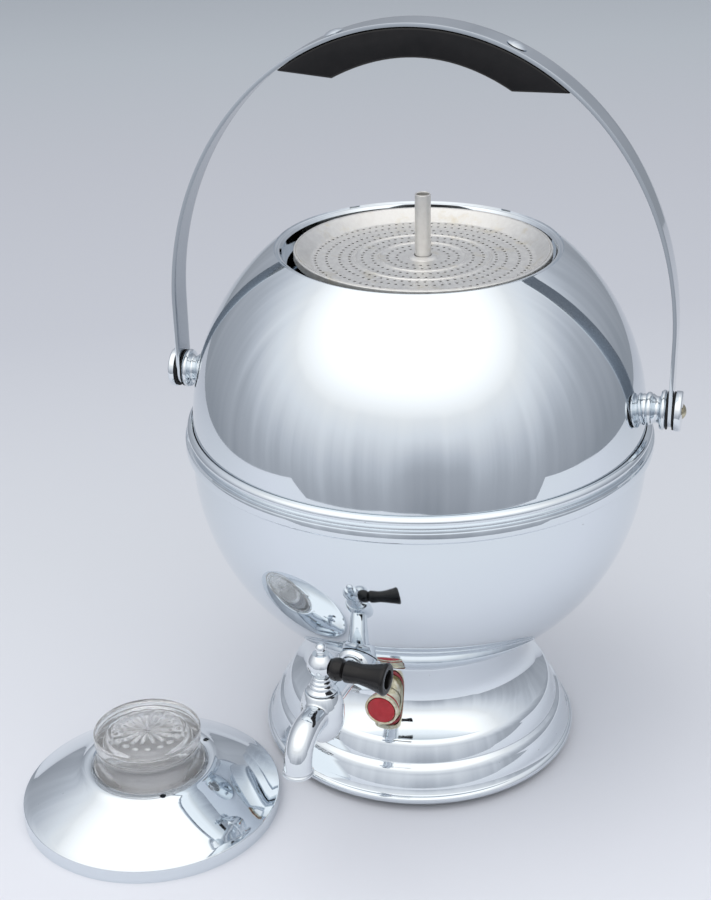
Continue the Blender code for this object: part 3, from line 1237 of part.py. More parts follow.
def make_pivots():
    """Turned boss, fibre washers, cap and screws of both pivots."""
    strap_inner = BAIL_HALF_SPAN - STRAP_THICKNESS / 2
    strap_outer = BAIL_HALF_SPAN + STRAP_THICKNESS / 2
    inner_washer_front = strap_inner - SEAT_GAP
    inner_washer_back = inner_washer_front - FIBRE_WASHER_THICKNESS
    boss_face = inner_washer_back - SEAT_GAP
    outer_washer_back = strap_outer + SEAT_GAP
    outer_washer_front = outer_washer_back + FIBRE_WASHER_THICKNESS
    cap_back = outer_washer_front + SEAT_GAP
    cap_front = cap_back + CAP_THICKNESS
    head_back = cap_front + SEAT_GAP
    rise = PIVOT_RISE - DOME_RISE
    seat = math.sqrt(DOME_RADIUS ** 2 - rise ** 2)
    bead_front = seat + BOSS_BEAD_WIDTH
    cup_back = boss_face - BOSS_CUP_WIDTH
    screw_bore = PIVOT_SCREW_RADIUS + SEAT_GAP
    screw_tail = boss_face - PIVOT_SCREW_DEPTH
    anchor_tip = seat + ANCHOR_SCREW_DEPTH
    envelope = dome_envelope("dome_outer_envelope", SEAT_GAP)
    for side, sign in (("left", -1), ("right", 1)):
        turn = (QUARTER_TURN, FACET_TWIST, sign * QUARTER_TURN)
        place = {"location": (0, 0, PIVOT_HEIGHT), "rotation": turn}
        bead_radius = BOSS_BEAD_RADIUS
        boss = [(screw_bore, boss_face), (BOSS_CUP_RADIUS - CAP_EDGE / 2, boss_face)]
        boss += [(BOSS_CUP_RADIUS, boss_face - CAP_EDGE / 2), (BOSS_CUP_RADIUS, cup_back + CAP_EDGE / 2)]
        boss += [(BOSS_CUP_RADIUS - CAP_EDGE / 2, cup_back)]
        waist_sag = (BOSS_CUP_RADIUS + bead_radius) / 2 - CAP_EDGE / 2 - BOSS_WAIST_RADIUS
        boss += bow(boss[-1], (bead_radius - CAP_EDGE / 2, bead_front), -waist_sag, BOSS_CURVE_STEPS)
        boss += [(bead_radius - CAP_EDGE / 2, bead_front), (bead_radius, bead_front - CAP_EDGE)]
        boss += [(bead_radius, seat + CAP_EDGE), (bead_radius - CAP_EDGE, seat)]
        boss += [(bead_radius - CAP_EDGE, seat - BOSS_ROOT_DEPTH), (screw_bore, seat - BOSS_ROOT_DEPTH)]
        boss += [(screw_bore, anchor_tip + SEAT_GAP), (0, anchor_tip + SEAT_GAP)]
        boss += [(0, screw_tail - SEAT_GAP), (screw_bore, screw_tail - SEAT_GAP)]
        boss_piece = turned("pivot_boss_" + side, boss, BRIGHT_CHROME, **place)
        cut(boss_piece, envelope)
        hole = screw_bore
        for layer, back, front in (
            ("inner", inner_washer_back, inner_washer_front),
            ("outer", outer_washer_back, outer_washer_front),
        ):
            washer = [(FIBRE_WASHER_RADIUS, front), (FIBRE_WASHER_RADIUS, back), (hole, back), (hole, front)]
            turned("fibre_washer_" + layer + "_" + side, washer, FIBRE, **place)
        cap = [(hole, cap_front), (CAP_RADIUS - CAP_EDGE, cap_front), (CAP_RADIUS, cap_front - CAP_EDGE)]
        cap += [(CAP_RADIUS, cap_back), (hole, cap_back)]
        turned("pivot_cap_" + side, cap, BRIGHT_CHROME, **place)
        head = [(r, z + head_back) for r, z in arc_head(PIVOT_SCREW_HEAD_RADIUS, PIVOT_SCREW_HEAD_HEIGHT)]
        screw = head + [(PIVOT_SCREW_RADIUS, head_back), (PIVOT_SCREW_RADIUS, screw_tail), (0, screw_tail)]
        turned("pivot_screw_" + side, screw, NICKEL, PIN_STEPS, **place)
        head_front = math.sqrt((DOME_RADIUS - SHEET - SEAT_GAP) ** 2 - (rise + ANCHOR_SCREW_HEAD_RADIUS) ** 2)
        head_front -= SEAT_GAP
        anchor = [(0, anchor_tip), (PIVOT_SCREW_RADIUS, anchor_tip), (PIVOT_SCREW_RADIUS, head_front)]
        anchor += [(ANCHOR_SCREW_HEAD_RADIUS, head_front)]
        anchor += [(ANCHOR_SCREW_HEAD_RADIUS, head_front - ANCHOR_SCREW_HEAD_HEIGHT)]
        anchor += [(0, head_front - ANCHOR_SCREW_HEAD_HEIGHT)]
        turned("anchor_screw_" + side, anchor, ZINC, PIN_STEPS, **place)


# Pump, basket and spreader

def make_pump(pump_frame):
    """Stem with its basket collar, the bell that stands in the well and the valve washer."""
    place = {"parent": pump_frame}
    bore = STEM_BORE_RADIUS
    collar_top = BASKET_FLOOR_HEIGHT - SEAT_GAP
    collar_foot = collar_top - BASKET_COLLAR_THICKNESS
    flange_top = STEM_FOOT_HEIGHT + STEM_FLANGE_THICKNESS
    stem = [(bore, STEM_TOP_HEIGHT), (STEM_RADIUS, STEM_TOP_HEIGHT), (STEM_RADIUS, collar_top)]
    stem += [(BASKET_COLLAR_RADIUS, collar_top), (BASKET_COLLAR_RADIUS, collar_foot)]
    stem += [(STEM_RADIUS, collar_foot), (STEM_RADIUS, flange_top), (STEM_FLANGE_RADIUS, flange_top)]
    stem += [(STEM_FLANGE_RADIUS, STEM_FOOT_HEIGHT), (bore, STEM_FOOT_HEIGHT)]
    turned("pump_stem", stem, ALUMINIUM, **place)
    crown = BELL_FOOT_HEIGHT + BELL_HEIGHT
    sleeve_top = crown + BELL_SLEEVE_HEIGHT
    sleeve_bore = STEM_RADIUS + SEAT_GAP
    sleeve = sleeve_bore + ALUMINIUM_SHEET
    bell = [(sleeve_bore, sleeve_top), (sleeve, sleeve_top), (sleeve, crown), (BELL_CROWN_RADIUS, crown)]
    bell += bow(bell[-1], (BELL_RADIUS, BELL_FOOT_HEIGHT), (BELL_RADIUS - BELL_CROWN_RADIUS) / 8, 4)
    bell += [(BELL_RADIUS, BELL_FOOT_HEIGHT), (BELL_RADIUS - ALUMINIUM_SHEET, BELL_FOOT_HEIGHT)]
    inner_crown = crown - ALUMINIUM_SHEET
    inner_start = (BELL_RADIUS - ALUMINIUM_SHEET, BELL_FOOT_HEIGHT)
    inner_end = (BELL_CROWN_RADIUS - ALUMINIUM_SHEET, inner_crown)
    bell += bow(inner_start, inner_end, -(BELL_RADIUS - BELL_CROWN_RADIUS) / 8, 4)
    bell += [inner_end, (sleeve_bore, inner_crown)]
    bell_piece = turned("pump_bell", bell, ALUMINIUM, **place)
    ports = ring_places((BELL_PORT_COUNT,), (BELL_RADIUS,))
    port_low = BELL_FOOT_HEIGHT - CUT_OVERRUN
    port_high = BELL_FOOT_HEIGHT + BELL_PORT_RADIUS
    port_size = (BELL_PORT_RADIUS, port_low, port_high, PIN_STEPS)
    cut(bell_piece, cluster("bell_port_drill", ports, *port_size, pump_frame))
    valve_foot = flange_top + SEAT_GAP
    valve_top = valve_foot + VALVE_THICKNESS
    valve = [(VALVE_RADIUS, valve_top), (VALVE_RADIUS, valve_foot)]
    valve += [(STEM_HOLE_RADIUS, valve_foot), (STEM_HOLE_RADIUS, valve_top)]
    turned("valve_washer", valve, NICKEL, **place)


def spreader_slope_height(radius):
    """Height of the underside of the spreader's sloping wall at a radius."""
    low = (SPREADER_FLOOR_RADIUS, SPREADER_FLOOR_HEIGHT - ALUMINIUM_SHEET)
    high = (SPREADER_RADIUS - SPREADER_RIM_WIDTH, SPREADER_TOP_HEIGHT - ALUMINIUM_SHEET)
    share = (radius - low[0]) / (high[0] - low[0])
    return low[1] + (high[1] - low[1]) * share


def make_basket(pump_frame):
    """Drawn coffee basket with a stem sleeve and a perforated floor."""
    wall = BASKET_RADIUS - ALUMINIUM_SHEET
    floor_top = BASKET_FLOOR_HEIGHT + ALUMINIUM_SHEET
    top = spreader_slope_height(wall) - 2 * SEAT_GAP
    roll = BASKET_RADIUS + BASKET_ROLL_PROUD
    roll_top = top - BASKET_ROLL_PROUD
    roll_foot = top - BASKET_ROLL_HEIGHT
    sleeve = STEM_HOLE_RADIUS + ALUMINIUM_SHEET
    sleeve_top = SPREADER_FLOOR_HEIGHT - BASKET_SLEEVE_DROP
    corner = BASKET_FLOOR_HEIGHT + BASKET_CORNER
    basket = [(BASKET_RADIUS, top), (roll, roll_top), (roll, roll_foot), (BASKET_RADIUS, roll_foot)]
    basket += [(BASKET_RADIUS, corner), (BASKET_RADIUS - BASKET_CORNER, BASKET_FLOOR_HEIGHT)]
    basket += [(STEM_HOLE_RADIUS, BASKET_FLOOR_HEIGHT), (STEM_HOLE_RADIUS, sleeve_top)]
    basket += [(sleeve, sleeve_top), (sleeve, floor_top), (wall - BASKET_CORNER, floor_top)]
    basket += [(wall, corner), (wall, top)]
    piece = turned("coffee_basket", basket, ALUMINIUM, WIDE_STEPS, parent=pump_frame)
    places = ring_places(BASKET_HOLE_COUNTS, BASKET_HOLE_RING_RADII)
    low = BASKET_FLOOR_HEIGHT - CUT_OVERRUN
    high = floor_top + CUT_OVERRUN
    hole_size = (BASKET_HOLE_RADIUS, low, high, DRIP_HOLE_STEPS)
    cut(piece, cluster("basket_drill", places, *hole_size, pump_frame))


def make_spreader(pump_frame):
    """Spreader dish: a rolled rim, embossed ridges and rings of drip holes."""
    floor = SPREADER_FLOOR_HEIGHT
    under = floor - ALUMINIUM_SHEET
    rim_inner = SPREADER_RADIUS - SPREADER_RIM_WIDTH
    skirt_inner = SPREADER_RADIUS - ALUMINIUM_SHEET
    skirt_foot = SPREADER_TOP_HEIGHT - SPREADER_SKIRT_HEIGHT
    under_rim = SPREADER_TOP_HEIGHT - ALUMINIUM_SHEET
    half_ridge = SPREADER_RIDGE_WIDTH / 2
    upper = [(SPREADER_FLOOR_RADIUS, floor)]
    lower = [(SPREADER_FLOOR_RADIUS, under)]
    for ridge in SPREADER_RIDGE_RADII[::-1]:
        for line, level in ((upper, floor), (lower, under)):
            line += [(ridge + half_ridge, level), (ridge, level + SPREADER_RIDGE_HEIGHT)]
            line.append((ridge - half_ridge, level))
    boss_top = floor + SPREADER_BOSS_HEIGHT
    edge = SPREADER_RADIUS - ALUMINIUM_SHEET / 2
    outline = [(edge, SPREADER_TOP_HEIGHT), (SPREADER_RADIUS, under_rim), (SPREADER_RADIUS, skirt_foot)]
    outline += [(skirt_inner, skirt_foot), (skirt_inner, under_rim), (rim_inner, under_rim)]
    outline += lower
    outline += [(SPREADER_BOSS_RADIUS, under), (STEM_HOLE_RADIUS, under), (STEM_HOLE_RADIUS, boss_top)]
    outline += [(SPREADER_BOSS_RADIUS - SPREADER_BOSS_HEIGHT, boss_top), (SPREADER_BOSS_RADIUS, floor)]
    outline += upper[::-1]
    outline.append((rim_inner, SPREADER_TOP_HEIGHT))
    piece = turned("spreader_dish", outline, ALUMINIUM, WIDE_STEPS, parent=pump_frame)
    places = ring_places(SPREADER_HOLE_COUNTS, SPREADER_HOLE_RING_RADII)
    low = under - CUT_OVERRUN
    high = floor + CUT_OVERRUN
    hole_size = (SPREADER_HOLE_RADIUS, low, high, DRIP_HOLE_STEPS)
    cut(piece, cluster("spreader_drill", places, *hole_size, pump_frame))


# Lid

def make_lid(lid_frame):
    """Spun lid: a straight skirt, a gently bowed cone and a raised collar round the knob."""
    inner = LID_RADIUS - LID_SHEET
    skirt_top = LID_SKIRT_HEIGHT
    shelf = LID_COLLAR_HEIGHT - LID_COLLAR_DROP
    shelf_radius = LID_COLLAR_RADIUS - LID_COLLAR_WIDTH
    mouth = KNOB_NECK_RADIUS + RUNNING_GAP
    collar_half = LID_COLLAR_WIDTH / 2
    shoulder = (LID_RADIUS - LID_SHOULDER, skirt_top + LID_SHOULDER / 2)
    cone_top = (LID_COLLAR_RADIUS, LID_COLLAR_HEIGHT - LID_COLLAR_DROP / 2)
    inner_shoulder = (inner, skirt_top)
    inner_top = (LID_COLLAR_RADIUS - LID_SHEET, LID_COLLAR_HEIGHT - LID_COLLAR_DROP - LID_SHEET)
    outline = [(mouth, shelf), (shelf_radius, shelf), (LID_COLLAR_RADIUS - collar_half, LID_COLLAR_HEIGHT)]
    outline.append(cone_top)
    outline += bow(cone_top, shoulder, LID_CONE_BULGE, LID_CONE_STEPS)
    outline += [shoulder, (LID_RADIUS, skirt_top), (LID_RADIUS, 0), (inner, 0), inner_shoulder]
    outline += bow(inner_shoulder, inner_top, -LID_CONE_BULGE, LID_CONE_STEPS - 1)
    outline += [inner_top, (mouth, shelf - LID_SHEET)]
    lid = turned("lid_shell", outline, CHROME, BODY_STEPS, parent=lid_frame)
    vent_circle = (KNOB_FLANGE_RADIUS + shelf_radius) / 2
    vents = ring_places((LID_VENT_COUNT,), (vent_circle,))
    low = shelf - LID_SHEET - CUT_OVERRUN
    high = LID_COLLAR_HEIGHT + CUT_OVERRUN
    cut(lid, cluster("lid_vent_drill", vents, LID_VENT_RADIUS, low, high, HEX_STEPS, lid_frame))


def make_knob(lid_frame):
    """Pressed-glass knob with a star in its top, held by lugs under a spring ring."""
    shelf = LID_COLLAR_HEIGHT - LID_COLLAR_DROP
    foot = shelf + SEAT_GAP
    flange_top = foot + KNOB_FLANGE_THICKNESS
    waist = foot + KNOB_WAIST_RISE
    ring_top = waist + KNOB_RING_HEIGHT
    disc_foot = ring_top + KNOB_GROOVE_HEIGHT
    disc_top = disc_foot + KNOB_DISC_HEIGHT
    neck_foot = shelf - KNOB_NECK_DROP
    star_floor = disc_top - KNOB_STAR_DEPTH
    ceiling = star_floor - KNOB_WALL
    star_edge = KNOB_STAR_RADIUS + KNOB_STAR_DEPTH
    outline = [(0, star_floor), (KNOB_STAR_RADIUS, star_floor), (star_edge, disc_top)]
    outline += [(KNOB_DISC_RADIUS - KNOB_DISC_EDGE, disc_top), (KNOB_DISC_RADIUS, disc_top - KNOB_DISC_EDGE)]
    outline += [(KNOB_DISC_RADIUS, disc_foot + KNOB_DISC_EDGE), (KNOB_WAIST_RADIUS, disc_foot)]
    outline += [(KNOB_WAIST_RADIUS, ring_top), (KNOB_RING_RADIUS, ring_top), (KNOB_RING_RADIUS, waist)]
    outline.append((KNOB_WAIST_RADIUS, waist))
    flange_edge = (KNOB_FLANGE_RADIUS, flange_top)
    outline += bow((KNOB_WAIST_RADIUS, waist), flange_edge, -KNOB_BELL_SAG, KNOB_BELL_STEPS)
    outline += [flange_edge, (KNOB_FLANGE_RADIUS, foot), (KNOB_NECK_RADIUS, foot)]
    outline.append((KNOB_NECK_RADIUS, neck_foot))
    bore = KNOB_NECK_RADIUS - KNOB_WALL
    outline += [(bore, neck_foot), (bore, foot), (KNOB_WAIST_RADIUS - KNOB_WALL, waist)]
    outline += [(KNOB_WAIST_RADIUS - KNOB_WALL - KNOB_STAR_DEPTH, ceiling), (0, ceiling)]
    knob = turned("glass_knob", outline, CLEAR_GLASS, WIDE_STEPS, parent=lid_frame)
    lug_middle = neck_foot + LUG_HEIGHT / 2
    for index in range(LUG_COUNT):
        turn = FULL_TURN * index / LUG_COUNT
        reach = KNOB_NECK_RADIUS + LUG_PROUD
        length = reach - KNOB_NECK_RADIUS + KNOB_WALL / 2
        lug = block("knob_lug_guide_" + str(index), (LUG_WIDTH, length, LUG_HEIGHT), None, parent=lid_frame)
        angle = math.radians(turn)
        middle = reach - length / 2
        lug.location = (-middle * math.sin(angle), middle * math.cos(angle), lug_middle)
        lug.rotation_euler = (0, 0, angle)
        fuse(knob, lug)
    mesh = bpy.data.meshes.new("star_cutter")
    shape = bmesh.new()
    inner = KNOB_STAR_RADIUS * KNOB_RAY_INNER_SHARE
    outer = KNOB_STAR_RADIUS * KNOB_RAY_OUTER_SHARE
    for index in range(KNOB_STAR_RAYS):
        turn = Matrix.Rotation(math.radians(FULL_TURN * index / KNOB_STAR_RAYS), 4, "Z")
        lift = Matrix.Translation(((inner + outer) / 2, 0, star_floor))
        ray = Matrix.Diagonal((outer - inner, KNOB_RAY_WIDTH, 2 * KNOB_RAY_DEPTH, 1.0))
        bmesh.ops.create_cube(shape, size=1.0, matrix=turn @ lift @ ray)
    shape.to_mesh(mesh)
    shape.free()
    cut(knob, as_cutter(add_mesh("star_cutter", mesh, CUTTERS, lid_frame)))
    ring_bore = KNOB_NECK_RADIUS + SEAT_GAP
    ring_top = shelf - LID_SHEET - SEAT_GAP
    ring_foot = ring_top - RETAINER_THICKNESS
    ring_outer = ring_bore + RETAINER_WIDTH
    ring = [(ring_outer, ring_top), (ring_outer, ring_foot), (ring_bore, ring_foot), (ring_bore, ring_top)]
    turned("knob_retainer", ring, ZINC, WIDE_STEPS, parent=lid_frame)


def build():
    """Make every piece of the percolator."""
    spigot_frame = frame("spigot_frame", rotation=(0, 0, -SPIGOT_TURN))
    tap_frame = frame("tap_frame", location=(0, -SPIGOT_REACH, 0))
    tap_frame.parent = spigot_frame
    pilot_frame = frame("pilot_frame", rotation=(0, 0, -PILOT_TURN))
    bail_frame = frame("bail_frame", location=(0, 0, PIVOT_HEIGHT))
    pump_frame = frame("pump_frame", location=(PUMP_SHIFT_X, PUMP_SHIFT_Y, 0))
    lid_frame = frame("lid_frame", location=(LID_PLACE_X, LID_PLACE_Y, FLOOR_LEVEL))
    make_bowl(spigot_frame)
    make_dome()
    make_band()
    make_pedestal(pilot_frame)
    make_base()
    make_heater()
    make_pilot_light(pilot_frame)
    make_inlet()
    make_spigot_body(spigot_frame)
    make_spigot_fixings(spigot_frame)
    make_spigot_handle(tap_frame)
    strap = make_strap(bail_frame)
    make_grip(bail_frame, strap)
    make_pivots()
    make_pump(pump_frame)
    make_basket(pump_frame)
    make_spreader(pump_frame)
    make_lid(lid_frame)
    make_knob(lid_frame)


build()
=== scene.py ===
"""Looks of the ball-shaped coffee percolator: turned and spun pieces, finishes, studio and camera.

Metres, +Z up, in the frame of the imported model: the origin is the centre of the base plate's underside,
X runs along the bail's pivots and -Y is the front.
"""
import json
import math

import bmesh
import bpy
from mathutils import Matrix, Vector


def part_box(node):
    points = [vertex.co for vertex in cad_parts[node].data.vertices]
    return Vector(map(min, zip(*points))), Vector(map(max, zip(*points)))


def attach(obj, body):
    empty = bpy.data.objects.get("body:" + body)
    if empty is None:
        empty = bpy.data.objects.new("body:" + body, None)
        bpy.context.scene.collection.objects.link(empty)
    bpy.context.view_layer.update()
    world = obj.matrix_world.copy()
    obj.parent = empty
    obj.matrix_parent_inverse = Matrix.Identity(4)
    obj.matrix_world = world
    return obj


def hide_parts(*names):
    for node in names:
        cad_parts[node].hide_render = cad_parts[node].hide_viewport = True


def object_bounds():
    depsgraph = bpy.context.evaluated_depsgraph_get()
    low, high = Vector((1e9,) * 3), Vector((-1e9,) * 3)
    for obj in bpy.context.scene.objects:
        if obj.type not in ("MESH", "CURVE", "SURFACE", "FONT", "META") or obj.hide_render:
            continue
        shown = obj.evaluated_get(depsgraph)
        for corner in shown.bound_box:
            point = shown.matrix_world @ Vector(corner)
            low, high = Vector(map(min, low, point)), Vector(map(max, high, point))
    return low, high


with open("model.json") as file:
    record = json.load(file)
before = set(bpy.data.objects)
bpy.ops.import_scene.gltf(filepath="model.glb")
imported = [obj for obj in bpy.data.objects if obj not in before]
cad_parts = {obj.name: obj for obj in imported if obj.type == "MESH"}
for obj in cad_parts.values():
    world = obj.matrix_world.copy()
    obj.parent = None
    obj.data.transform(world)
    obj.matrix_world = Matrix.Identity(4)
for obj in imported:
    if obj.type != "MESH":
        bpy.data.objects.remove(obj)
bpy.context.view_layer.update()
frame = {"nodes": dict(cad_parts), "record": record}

MM = 0.001

# Clearance between pieces that meet, and how far a drill runs past its sheet
SLIT = 0.3 * MM
DRILL_PAST = 2.0 * MM

# How finely round forms are turned
BALL_STEPS = 160
RING_STEPS = 96
SMALL_STEPS = 48
ARC_STEPS = 40
SOFT_STEPS = 12
RIM_STEPS = 8
EDGE_STEPS = 6

# Chromed body
SHEET = 0.9 * MM
BOWL_RADIUS = 126.5 * MM
BOWL_CENTRE = 181.0 * MM
WELL_MOUTH = 30.5 * MM
DOME_RADIUS = 125.4 * MM
DOME_CENTRE = 199.0 * MM
SEAM = 194.6 * MM
NECK_RADIUS = 76.2 * MM
NECK_BORE = 73.0 * MM
NECK_LIP = 297.4 * MM
LID_SEAT_DEPTH = 8.5 * MM
LID_SEAT_WIDTH = 2.6 * MM
BAND_FOOT = 186.3 * MM
BAND_CHAMFER = 1.4 * MM
BAND_FACE = 130.0 * MM
BAND_FACE_TOP = 192.7 * MM
BAND_LEDGE = 129.3 * MM
BAND_LEDGE_TOP = 193.9 * MM
BAND_GROOVE = 127.7 * MM
BAND_GROOVE_TOP = 195.3 * MM
BAND_EDGE = 0.3 * MM
BEAD = 128.8 * MM
BEAD_TOP = 200.7 * MM

# Pedestal: (radius, height) where two numbers stand together
WAIST_MOUTH = 62.7 * MM
WAIST_RADIUS = 61.5 * MM
WAIST_HEIGHT = 58.0 * MM
WAIST_SAG = 0.2 * MM
COVE_FOOT = (69.5 * MM, 38.0 * MM)
COVE_SAG = 2.5 * MM
LEDGE = (75.0 * MM, 33.6 * MM)
UPPER_KNEE = (77.3 * MM, 32.2 * MM)
GROOVE = (81.4 * MM, 20.8 * MM)
LOWER_TIER = (83.4 * MM, 19.6 * MM)
LOWER_KNEE = (84.6 * MM, 18.6 * MM)
LOWER_FLARE = (88.6 * MM, 7.6 * MM)
LOWER_FOOT = (89.6 * MM, 5.6 * MM)
KNEE_SHARE = 0.22
TIER_BULGE = 0.15 * MM
FOOT_BEAD_RADIUS = 92.0 * MM
FOOT_BEAD_HEIGHT = 5.2 * MM
PEDESTAL_EDGE = 0.35 * MM
FOOT_HOLE = 3.6 * MM
FOOT_TAPER = 1.0 * MM
FOOT_EDGE = 0.6 * MM

# Pilot light and inlet
PILOT_TURN = -3.7
PILOT_HEIGHT = 49.5 * MM
PILOT_REACH = 74.0 * MM
PILOT_ROOT = 49.0 * MM
PILOT_TUBE = 7.6 * MM
PILOT_TUBE_WALL = 0.7 * MM
PILOT_RIM = 9.6 * MM
PILOT_RIM_LENGTH = 4.4 * MM
PILOT_RIM_EDGE = 0.6 * MM
PILOT_RING = 2.3 * MM
PILOT_COLLAR = 8.7 * MM
PILOT_SLEEVE = 9.2 * MM
PILOT_WINDOW = 7.8 * MM
LENS_CROWN = 1.0 * MM
LENS_DEPTH = 3.4 * MM
INLET_HEIGHT = 51.4 * MM
INLET_SIZE = (34.0 * MM, 18.0 * MM)
INLET_ROOT = 50.0 * MM
INLET_REACH = 76.0 * MM
INLET_WALL = 1.6 * MM
INLET_CORNER = 3.0 * MM
INLET_EDGE = 0.35 * MM
INLET_PIN_RADIUS = 2.4 * MM
INLET_PIN_SPACING = 17.5 * MM
INLET_PIN_TIP = 73.5 * MM
INLET_PIN_EDGE = 0.6 * MM

# Spigot
SPIGOT_TURN = -7.2
SPIGOT_REACH = 143.5 * MM
SHANK_HEIGHT = 95.0 * MM
SHANK_RADIUS = 6.5 * MM
SHANK_BORE = 4.0 * MM
SHANK_ROOT = 64.0 * MM
COLLAR_RADIUS = 9.6 * MM
COLLAR_FRONT = 104.0 * MM
COLLAR_CHAMFER = 1.6 * MM
COLLAR_EDGE = 0.35 * MM
BARREL_RADIUS = 11.4 * MM
BARREL_SHOULDER = 8.8 * MM
BARREL_TOP = 105.2 * MM
BARREL_FLOOR = 76.0 * MM
BARREL_TAIL = 4.6 * MM
BARREL_BELLY_SHARE = 0.55
PLUG_TOP = 6.2 * MM
PLUG_TAIL = 5.4 * MM
PLUG_FLOOR_RISE = 3.2 * MM
PLUG_STEM = 2.8 * MM
PLUG_STEM_HEIGHT = 11.4 * MM
SPOUT_RADIUS = 7.2 * MM
SPOUT_BORE = 5.0 * MM
SPOUT_REACH = 175.5 * MM
SPOUT_BEND = 14.0 * MM
SPOUT_TIP = 76.0 * MM
SPOUT_LIP = 0.9 * MM
SPOUT_LIP_HEIGHT = 2.0 * MM
SPOUT_STEPS = 20
CASTING_VOXEL = 0.4 * MM
BONNET_FOOT = 105.5 * MM
BONNET_TOP = 114.3 * MM
BONNET_RIM = 7.9 * MM
BONNET_RIM_HEIGHT = 2.0 * MM
BONNET_RINGS = 3
BONNET_RING = 4.4 * MM
BONNET_RING_SPREAD = 0.8 * MM
BONNET_RING_PROUD = 0.7 * MM
BONNET_EDGE = 0.2 * MM
ONION_FOOT = 114.6 * MM
ONION_TOP = 127.4 * MM
ONION_RADIUS = 7.3 * MM
ONION_END_SHARE = 0.6
ONION_NECK = 2.2 * MM
FINIAL_RADIUS = 2.9 * MM
FINIAL_UNDERCUT = 50.0
LEVER_HEIGHT = 119.9 * MM
LEVER_SEAT = 5.6 * MM
LEVER_SEAT_REACH = 5.3 * MM
LEVER_BACK = 5.6 * MM
LEVER_BULB_END = 12.7 * MM
LEVER_TIP = 36.4 * MM
LEVER_BULB = 6.1 * MM
LEVER_BULB_HALF_ANGLE = 30.0
LEVER_GROOVE = 4.4 * MM
LEVER_SHOULDER = 5.8 * MM
LEVER_WAIST = 5.2 * MM
LEVER_WAIST_SHARE = 0.35
LEVER_FLARE_SAG = 0.4 * MM
LEVER_END = 8.5 * MM
LEVER_RECESS = 4.9 * MM
LEVER_RECESS_DEPTH = 4.0 * MM
LEVER_EDGE = 0.3 * MM
STUD_DRILL = 1.9 * MM
STUD_DRILL_TIP = 17.8 * MM

# Bail and its pivots
PIVOT_HEIGHT = 214.6 * MM
BAIL_HALF_SPAN = 138.0 * MM
BAIL_LEG = 40.0 * MM
BAIL_RISE = 160.6 * MM
STRAP_WIDTH = 18.0 * MM
STRAP_THICKNESS = 2.0 * MM
STRAP_EDGE = 0.45 * MM
STRAP_ROWS = 6
GRIP_OFFSET = 3.2 * MM
GRIP_HALF = 76.5 * MM
GRIP_HOLD_HALF = 46.7 * MM
GRIP_HOLD_DROP = 16.5 * MM
GRIP_CORNER_DROP = 20.6 * MM
GRIP_EDGE = 1.3 * MM
GRIP_SCREW_PLACE = 47.6 * MM
GRIP_SCREW_HEAD = (5.6 * MM, 1.6 * MM)
GRIP_SCREW_SHANK = (1.9 * MM, 9.0 * MM)
BOSS_SEAT = 124.4 * MM
BOSS_ROOT = 122.9 * MM
BOSS_BEAD = 9.1 * MM
BOSS_BEAD_FRONT = 128.3 * MM
BOSS_BEAD_ROUND = 1.8 * MM
BOSS_WAIST = 7.0 * MM
BOSS_CUP = 10.9 * MM
BOSS_CUP_BACK = 132.7 * MM
BOSS_CUP_ROUND = 1.45 * MM
BOSS_FACE = 135.6 * MM
WASHER_RADIUS = 10.4 * MM
WASHER_THICKNESS = 0.8 * MM
WASHER_EDGE = 0.15 * MM
INNER_WASHER = 135.9 * MM
OUTER_WASHER = 139.3 * MM
CAP_BACK = 140.4 * MM
CAP_FRONT = 144.0 * MM
CAP_RADIUS = 11.0 * MM
CAP_EDGE = 1.2 * MM
CAP_CORNER = 0.2 * MM
PIVOT_SCREW = 2.2 * MM
PIVOT_SCREW_HEAD = (4.1 * MM, 1.9 * MM)

# Pump, basket and dish; hole rings are (count, radius)
PUMP_SHIFT = Vector((2.3 * MM, 0.5 * MM, 0.0))
STEM_RADIUS = 4.25 * MM
STEM_BORE = 3.45 * MM
STEM_TOP = 325.8 * MM
STEM_EDGE = 0.35 * MM
STEM_FLANGE = (8.0 * MM, 1.9 * MM)
ALUMINIUM_SHEET = 0.8 * MM
BASKET_RADIUS = 63.0 * MM
BASKET_FLOOR = 226.0 * MM
BASKET_BEND = 4.0 * MM
BASKET_ROLL = 1.6 * MM
BASKET_EDGE = 0.3 * MM
BASKET_SLEEVE = 4.75 * MM
BASKET_SLEEVE_DROP = 6.0 * MM
BASKET_HOLE = 0.9 * MM
BASKET_HOLE_RINGS = ((10, 14.0 * MM), (18, 24.0 * MM), (26, 34.0 * MM), (34, 44.0 * MM), (42, 54.0 * MM))
DISH_RADIUS = 69.05 * MM
DISH_BORE = 4.75 * MM
DISH_TOP = 296.9 * MM
DISH_FLOOR = 290.9 * MM
DISH_FLOOR_RADIUS = 59.8 * MM
DISH_BEND = 1.2 * MM
DISH_BEND_SAG = 0.3 * MM
DISH_RIM_WIDTH = 2.2 * MM
DISH_RIM_GROOVE = (67.75 * MM, 0.6 * MM)
DISH_SKIRT = 4.0 * MM
DISH_BOSS = (6.6 * MM, 1.4 * MM)
DISH_RIDGES = (36.3 * MM, 23.3 * MM)
DISH_RIDGE_HEIGHT = 0.7 * MM
DISH_RIDGE_WIDTH = 2.4 * MM
DISH_HOLE = 0.8 * MM
DISH_HOLE_RINGS = (
    (22, 14.0 * MM), (30, 19.0 * MM), (42, 27.0 * MM), (51, 32.5 * MM),
    (62, 39.3 * MM), (70, 44.6 * MM), (81, 51.5 * MM), (90, 57.5 * MM),
)

